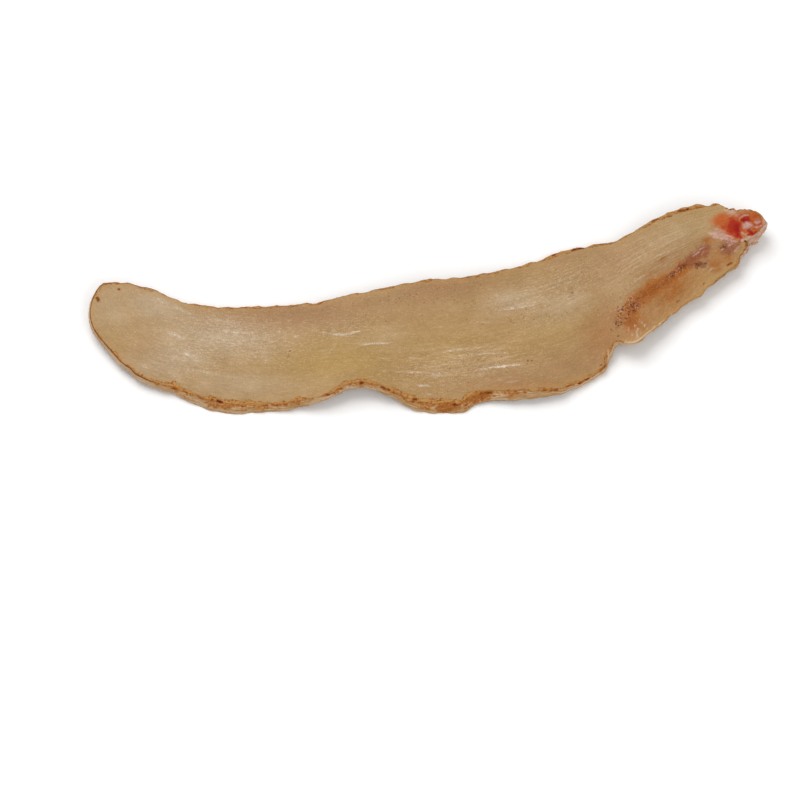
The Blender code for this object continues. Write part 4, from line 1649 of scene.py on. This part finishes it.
@dataclass(frozen=True)
class StainFinish(Finish):
    """The amber stained band along the neck, its crusts, pores and purple smears."""

    amber: Coat = Coat(0.02, 0.90, 0.98, StainPalette.AMBER)
    amber_least: float = 0.6
    amber_strands: float = 0.8
    amber_crumbs: float = 0.25
    deep: Coat = Coat(0.80, 1.20, 0.55, StainPalette.DEEP)
    purple: Coat = Coat(0.15, 0.95, 0.72, StainPalette.PURPLE)
    purple_least: float = 0.7
    purple_dashes: float = 0.6
    purple_crumbs: float = 0.6
    crust_crumbs: float = 1.6
    crust_grit: float = 0.6
    crust_edge: Span = (0.42, 0.80)
    crust_limit: Span = (0.05, 0.3)
    crust_share: float = 0.55
    round_crust: Coat = Coat(0.1, 0.9, 0.45, StainPalette.DEEP)
    crumbs: Texture = Texture((2.3, 2.3, 2.3), 3.0, 0.75)
    crumbs_on_crust: float = 0.8
    crumbs_limit: Span = (0.05, 0.5)
    dark_crumbs: Coat = Coat(0.47, 0.36, 0.75, StainPalette.CRUST)
    bright_crumbs: Coat = Coat(0.57, 0.68, 0.45, StainPalette.SPARKLE)
    pores: Dots = Dots(1.9, 0.16, 0.99, 1.05)
    pore_favour: float = 0.45
    pore_share: float = 0.9
    sparkles: Dots = Dots(2.1, 0.12, 1.0, 1.08)
    sparkle_favour: float = 0.38
    sparkle_share: float = 0.45

    def dress(self, colour: Value) -> Value:
        """Lay the stains on.

        Args:
            colour: the colour underneath.

        Returns:
            The new colour.
        """
        net, grain = self.net, self.grain
        amber = net.mark("amber") * (self.amber_least + grain.strands * self.amber_strands)
        colour = net.coat(colour, amber + grain.crumbs.swing(self.amber_crumbs), self.amber)
        colour = net.coat(colour, net.mark("amber") * (grain.dashes + grain.crumbs), self.deep)
        purple = net.mark("purple") * (self.purple_least + grain.dashes * self.purple_dashes)
        return net.coat(colour, purple + grain.crumbs.swing(self.purple_crumbs), self.purple)

    def crusts(self, colour: Value) -> tuple[Value, Value]:
        """Lay the dark crusts, the pores and the sparkling crumbs on.

        Args:
            colour: the colour underneath.

        Returns:
            The new colour, and how crusted each place is.
        """
        net, grain = self.net, self.grain
        mark, pores = net.mark("crust"), net.mark("pores")
        uneven = mark + grain.crumbs.swing(self.crust_crumbs) + grain.grit.swing(self.crust_grit)
        crust = uneven.step(*self.crust_edge) * mark.step(*self.crust_limit)
        colour = net.coat(colour, mark, self.round_crust)
        colour = net.blend(crust * self.crust_share, colour, StainPalette.CRUST)
        broken = net.noise(grain.spot, self.crumbs)
        crumbly = pores.greater(mark * self.crumbs_on_crust).step(*self.crumbs_limit)
        colour = net.coat(colour, broken, self.dark_crumbs, crumbly)
        colour = net.coat(colour, broken, self.bright_crumbs, crumbly)
        dots = net.dots(grain.spot, self.pores, pores * self.pore_favour)
        colour = net.blend(dots * self.pore_share, colour, FleshPalette.PIT)
        sparkles = net.dots(grain.fibre, self.sparkles, pores.greater(mark) * self.sparkle_favour)
        return net.blend(sparkles * self.sparkle_share, colour, StainPalette.SPARKLE), crust


@dataclass(frozen=True)
class BudFinish(Finish):
    """The bud: coral core, orange shade, blush tissue and a cream lip.

    Each layer has its mark, its share of the clots and of the wisps, and its coat.
    """

    clots: Texture = Texture((1.6, 1.6, 1.6), 4.0, 0.65)
    clotting: float = 1.2
    wisps: Texture = Texture((0.9, 3.4, 1.0), 3.0, 0.65)
    wisping: float = 1.6
    limit: Span = (0.02, 0.4)
    layers: tuple[tuple[str, float, float, Coat], ...] = (
        ("orange", 0.7, 0.0, Coat(0.12, 1.00, 0.92, BudPalette.ORANGE)),
        ("coral", 0.8, 0.0, Coat(0.25, 1.00, 0.95, BudPalette.CORAL)),
        ("deep", 1.0, 0.0, Coat(0.25, 1.00, 0.75, BudPalette.DEEP)),
        ("blush", 0.7, 1.15, Coat(0.22, 0.85, 0.92, BudPalette.BLUSH)),
        ("cream", 1.0, 0.4, Coat(0.30, 0.75, 0.80, BudPalette.CREAM)),
    )

    def dress(self, colour: Value) -> Value:
        """Lay the bud's colours on.

        Args:
            colour: the colour underneath.

        Returns:
            The new colour.
        """
        net, grain = self.net, self.grain
        clots = net.noise(grain.spot, self.clots).swing(self.clotting)
        wisps = net.noise(grain.fibre, self.wisps).swing(self.wisping)
        for name, clot_share, wisp_share, coat in self.layers:
            mask = net.mark(name)
            uneven = clots * clot_share + wisps * wisp_share
            colour = net.coat(colour, mask + uneven * mask.step(*self.limit), coat)
        return colour


@dataclass(frozen=True)
class WallFinish(BarkFinish):
    """The rind wall round the slice, rusty where the tuber's skin is left and pink at the bud."""

    pale_layers: Coat = Coat(0.44, 0.58, 1.0, RindPalette.PALE)
    tan_layers: Coat = Coat(0.46, 0.38, 0.7, RindPalette.TAN)
    rust_upward: float = 0.10
    rust_mark: float = 0.22
    rust_gaps: float = 0.5
    tan_flakes: Coat = Coat(0.50, 0.62, 0.75, RindPalette.TAN)
    rust_chips: Coat = Coat(0.55, 0.66, 0.75, RindPalette.RUST)
    umber_chips: Coat = Coat(0.64, 0.72, 0.8, RindPalette.UMBER)
    umber_rust: float = 0.5
    pale_flakes: float = 1.5
    pale_from: float = 0.2
    foot_start: Span = (-0.80, -1.0)
    foot_end: Span = (0.0, -0.1)
    foot_least: float = 0.2
    foot_share: float = 0.9
    blush_layers: Coat = Coat(0.50, 0.60, 1.0, BudPalette.BLUSH)
    orange_lines: Coat = Coat(0.58, 0.78, 0.85, BudPalette.ORANGE)
    line_flakes: float = 0.9
    line_chips: float = 0.5
    line_downward: float = 0.22
    dark_lines: Coat = Coat(0.56, 0.64, 0.6, RindPalette.UMBER)
    dark_chips: float = 0.7
    dark_layers: float = 0.3
    tissue_flakes: float = 1.2
    tissue_edge: Span = (0.30, 0.65)
    tissue_down_to: Span = (-0.5, 0.5)
    tissue_share: float = 0.85
    brim_start: Span = (-0.62, -0.78)
    brim_end: Span = (-1.0, -0.86)
    brim_least: float = 0.3
    brim_share: float = 0.6

    def rusted(self) -> Value:
        """The wall's layers, tan flakes, rusty and umber chips, and its dark foot.

        Returns:
            The colour.
        """
        net, bark = self.net, self.bark
        rusty = bark.level * self.rust_upward + net.mark("rusty") * self.rust_mark
        rusty = rusty + bark.gaps.swing(self.rust_gaps)
        base = net.coat(RindPalette.WALL, bark.layers, self.pale_layers)
        base = net.coat(base, bark.layers, self.tan_layers)
        base = net.coat(base, bark.flakes + rusty, self.tan_flakes)
        base = net.coat(base, bark.chips + rusty, self.rust_chips)
        base = net.coat(base, bark.chips + rusty * self.umber_rust, self.umber_chips)
        pale = net.mark("pale_wall") * (bark.flakes * self.pale_flakes - self.pale_from)
        base = net.blend(pale, base, RindPalette.PALE)
        foot = bark.level.step(*self.foot_start) * bark.level.step(*self.foot_end) * bark.rim
        shade = foot * (self.foot_least + bark.gaps) * self.foot_share
        return net.blend(shade, base, RindPalette.UMBER)

    def tissue(self) -> Value:
        """The bud's own wall: blush tissue with orange and dark lines low down.

        Returns:
            The colour.
        """
        net, bark = self.net, self.bark
        tissue = net.coat(BudPalette.RIM, bark.layers, self.blush_layers)
        low = bark.flakes * self.line_flakes + bark.chips * self.line_chips
        tissue = net.coat(tissue, low - bark.level * self.line_downward, self.orange_lines)
        dark = bark.chips * self.dark_chips + bark.layers * self.dark_layers
        return net.coat(tissue, dark, self.dark_lines)

    def dress(self) -> Value:
        """The whole wall.

        Returns:
            The colour.
        """
        net, bark = self.net, self.bark
        grown = (net.mark("bud_skin") + bark.flakes.swing(self.tissue_flakes)).step(*self.tissue_edge)
        grown = grown * bark.level.step(*self.tissue_down_to)
        base = net.blend(grown * self.tissue_share, self.rusted(), self.tissue())
        brim = bark.level.step(*self.brim_start) * bark.level.step(*self.brim_end)
        light = brim * (self.brim_least + bark.gaps) * self.brim_share
        return net.blend(light, base, RindPalette.PALE)


@dataclass(frozen=True)
class RindFinish(BarkFinish):
    """The broken, flecked band of rind at both faces' edge, with the wall between them."""

    tan_edge: Span = (1.6, 0.1)
    tan_least: float = 0.1
    tan_gaps: float = 0.5
    band_back: float = 0.08
    band_gaps: float = 2.2
    band_chips: float = 1.6
    band_edge: Span = (-0.06, 0.20)
    band_share: float = 0.88
    rust_skin: Coat = Coat(0.47, 0.60, 1.0, RindPalette.RUST)
    umber_skin: Coat = Coat(0.58, 0.70, 0.8, RindPalette.UMBER)
    pale_grit: Coat = Coat(0.58, 0.70, 0.4, RindPalette.PALE)
    rim: Coat = Coat(0.25, 0.75, 0.75, RindPalette.UMBER)
    rim_edge: Span = (0.26, 0.05)
    rim_least: float = 0.5
    rim_lost_on_wall: float = 0.9
    lip: Coat = Coat(0.35, 0.8, 0.85, RindPalette.PALE)
    lip_crumbs: float = 1.2
    fleck_limit: Span = (0.02, 0.3)
    fleck_foot: Span = (0.9, 0.1)
    fleck_crumbs: float = 1.2
    fleck_grit: float = 0.8
    rust_flecks: Coat = Coat(0.28, 0.60, 0.85, RindPalette.RUST)
    dark_flecks: Coat = Coat(0.55, 0.95, 0.9, RindPalette.DARK)
    fleck_edge: Span = (0.3, 0.6)
    chip_height: float = 0.14
    layer_height: float = 0.10

    def skin(self) -> Value:
        """The mottled tones of the band on the faces.

        Returns:
            The colour.
        """
        net, grain, bark = self.net, self.grain, self.bark
        skin = net.coat(RindPalette.TAN, bark.chips, self.rust_skin)
        skin = net.coat(skin, bark.chips, self.umber_skin)
        return net.coat(skin, grain.grit, self.pale_grit)

    def flecks(self) -> Value:
        """How flecked each place is, broken up by crumbs and grit and fading down the wall.

        Returns:
            The mask.
        """
        net, grain, bark = self.net, self.grain, self.bark
        mark = net.mark("flecks")
        uneven = grain.crumbs.swing(self.fleck_crumbs) + grain.grit.swing(self.fleck_grit)
        kept = mark * (1 - bark.wall * bark.level.step(*self.fleck_foot))
        return kept + uneven * mark.step(*self.fleck_limit)

    def dress(self, colour: Value, wall: Value) -> tuple[Value, Value, Value]:
        """Lay the rind on.

        Args:
            colour: the colour underneath.
            wall: the wall's colour.

        Returns:
            The colour, how much rind there is, and its relief in millimetres.
        """
        net, grain, bark = self.net, self.grain, self.bark
        edge = net.mark("edge")
        beside = edge.step(*self.tan_edge) * (1 - net.mark("bud_skin"))
        tanned = beside * (self.tan_least + bark.gaps * self.tan_gaps)
        colour = net.blend(tanned, colour, RindPalette.TAN)
        reach = net.mark("rind") - self.band_back + bark.gaps.swing(self.band_gaps)
        band = (reach + bark.chips.swing(self.band_chips)).step(*self.band_edge)
        colour = net.blend(band * self.band_share, colour, self.skin())
        colour = net.blend(bark.wall, colour, wall)
        rim = edge.step(*self.rim_edge) * bark.rim * (self.rim_least + bark.gaps)
        colour = net.coat(colour, rim * (1 - bark.wall * self.rim_lost_on_wall), self.rim)
        colour = net.coat(colour, net.mark("lip") + grain.crumbs.swing(self.lip_crumbs), self.lip)
        fleck = self.flecks()
        colour = net.coat(colour, fleck, self.rust_flecks)
        colour = net.coat(colour, fleck, self.dark_flecks)
        rind = band.greater(bark.wall).greater(fleck.step(*self.fleck_edge))
        return colour, rind, bark.chips * self.chip_height + bark.layers * self.layer_height


@dataclass(frozen=True)
class SliceFinish:
    """The finish of the whole slice."""

    roughness: float = 0.48
    rind_roughness: float = 0.8
    specular: float = 0.18
    subsurface: float = 0.06
    glow_radius: Colour = (1.2, 0.6, 0.3)
    strand_height: float = 0.02
    dash_height: float = 0.02
    grit_height: float = 0.012
    bud_edge: Span = (0.1, 0.5)
    bud_dulling: float = 0.8
    crust_relief: float = 0.6

    def material(self) -> bpy.types.Material:
        """Build the whole finish.

        Returns:
            The new material.
        """
        made = bpy.data.materials.new("dried_gastrodia")
        made.use_nodes = True
        net = ShaderNet(made.node_tree)
        grain = Grain.over(net)
        bark = Bark.over(net, grain)
        flesh, stains = FleshFinish(net, grain), StainFinish(net, grain)
        colour = flesh.specks(flesh.starch(stains.dress(flesh.dress())))
        colour, crust = stains.crusts(colour)
        colour = BudFinish(net, grain).dress(colour)
        wall = WallFinish(net, grain, bark).dress()
        colour, rind, skin_relief = RindFinish(net, grain, bark).dress(colour, wall)
        colour = net.scaled(colour, flesh.lightness())
        bud = net.mark("orange").greater(net.mark("coral")).step(*self.bud_edge) * self.bud_dulling
        bare = 1 - rind.greater(crust).greater(bud)
        rough = self.rind_roughness - (self.rind_roughness - self.roughness) * bare
        relief = grain.strands * self.strand_height + grain.dashes * self.dash_height
        relief = relief + grain.grit * self.grit_height
        height = relief + skin_relief * rind.greater(crust * self.crust_relief)
        normal = net.node("ShaderNodeBump", {}, {"Strength": 1.0, "Distance": MM, "Height": height})
        shader = made.node_tree.nodes["Principled BSDF"]
        for name, given in {
            "Specular IOR Level": self.specular,
            "Subsurface Weight": self.subsurface,
            "Subsurface Radius": self.glow_radius,
            "Subsurface Scale": MM,
        }.items():
            shader.inputs[name].default_value = given
        for name, given in {"Base Color": colour, "Roughness": rough, "Normal": normal}.items():
            made.node_tree.links.new(given.socket, shader.inputs[name])
        return made


class Lamp(NamedTuple):
    """A soft square light: its degrees from +X and above the floor, its metres off, side and watts."""

    name: str
    azimuth: float
    elevation: float
    distance: float
    size: float
    power: float


@dataclass
class Studio:
    """The pale floor, the soft lights and the camera."""

    floor_size: float = 6.0
    floor_tone: Colour = (0.96, 0.96, 0.96)
    floor_cloud: Colour = (0.94, 0.94, 0.94)
    floor_noise: Texture = Texture((3.0, 3.0, 3.0), 2.0, 0.5)
    floor_roughness: float = 0.9
    floor_specular: float = 0.1
    lamps: tuple[Lamp, ...] = (
        Lamp("key", 125.0, 60.0, 0.9, 0.6, 4.7),
        Lamp("fill", -60.0, 45.0, 1.0, 0.6, 2.4),
    )
    room_light: float = 0.55
    look_at: tuple[float, float, float] = (-0.00609, -0.01978, 0.0)
    distance: float = 0.75
    elevation: float = 66.5
    lens: float = 164.5
    nearest_seen: float = 0.01

    def floor(self) -> bpy.types.Object:
        """A plain pale floor.

        Returns:
            The new object.
        """
        half = self.floor_size / 2 / MM
        corners = [[-half, -half, 0.0], [half, -half, 0.0], [half, half, 0.0], [-half, half, 0.0]]
        material = bpy.data.materials.new("pale_floor")
        material.use_nodes = True
        net = ShaderNet(material.node_tree)
        cloud = net.noise(net.node("ShaderNodeTexCoord", {}, {}, "Object"), self.floor_noise)
        colour = net.blend(cloud, self.floor_tone, self.floor_cloud)
        shader = material.node_tree.nodes["Principled BSDF"]
        shader.inputs["Roughness"].default_value = self.floor_roughness
        shader.inputs["Specular IOR Level"].default_value = self.floor_specular
        material.node_tree.links.new(colour.socket, shader.inputs["Base Color"])
        piece = mesh_object("floor", np.array(corners), np.array([[0, 1, 2, 3]]), material)
        return piece

    def stand(self, piece: bpy.types.Object, centre: Vector, way: Vector, distance: float) -> None:
        """Put a light or camera some way off a point, looking back at it.

        Args:
            piece: the light or camera.
            centre: the point.
            way: unit vector from the point to the piece.
            distance: how far off it stands.
        """
        piece.location = centre + way * distance
        piece.rotation_euler = (-way).to_track_quat("-Z", "Y").to_euler()
        bpy.context.scene.collection.objects.link(piece)

    def light(self, lamp: Lamp) -> None:
        """One soft square light that points at the slice.

        Args:
            lamp: where it stands, and how large and strong it is.
        """
        data = bpy.data.lights.new(lamp.name, "AREA")
        data.size = lamp.size
        data.energy = lamp.power
        turn, lift = math.radians(lamp.azimuth), math.radians(lamp.elevation)
        way = Vector((math.cos(turn) * math.cos(lift), math.sin(turn) * math.cos(lift), math.sin(lift)))
        self.stand(bpy.data.objects.new(lamp.name, data), Vector(), way, lamp.distance)

    def camera(self) -> None:
        """The camera, looking down at the slice."""
        data = bpy.data.cameras.new("camera")
        data.lens = self.lens
        data.clip_start = self.nearest_seen
        camera = bpy.data.objects.new("camera", data)
        lift = math.radians(self.elevation)
        way = Vector((0.0, -math.cos(lift), math.sin(lift)))
        self.stand(camera, Vector(self.look_at), way, self.distance)
        bpy.context.scene.camera = camera

    def world(self) -> None:
        """Even white light from all round."""
        world = bpy.data.worlds.new("soft_room")
        world.use_nodes = True
        background = world.node_tree.nodes["Background"]
        background.inputs["Color"].default_value = (1.0, 1.0, 1.0, 1.0)
        background.inputs["Strength"].default_value = self.room_light
        bpy.context.scene.world = world

    def build(self) -> bpy.types.Object:
        """Put the floor, lights and camera in place.

        Returns:
            The floor.
        """
        floor = self.floor()
        self.world()
        for lamp in self.lamps:
            self.light(lamp)
        self.camera()
        bpy.context.scene.view_settings.view_transform = "Standard"
        return floor


def main() -> None:
    """Build the studio and the slice in order."""
    logging.basicConfig(level=logging.INFO, format="%(name)s: %(message)s")
    floor = Studio().build()
    piece = FineSlice().build(SliceFinish().material())
    for made in (floor, piece):
        log.info("%s: %d faces", made.name, len(made.data.polygons))


if __name__ == "__main__":
    main()
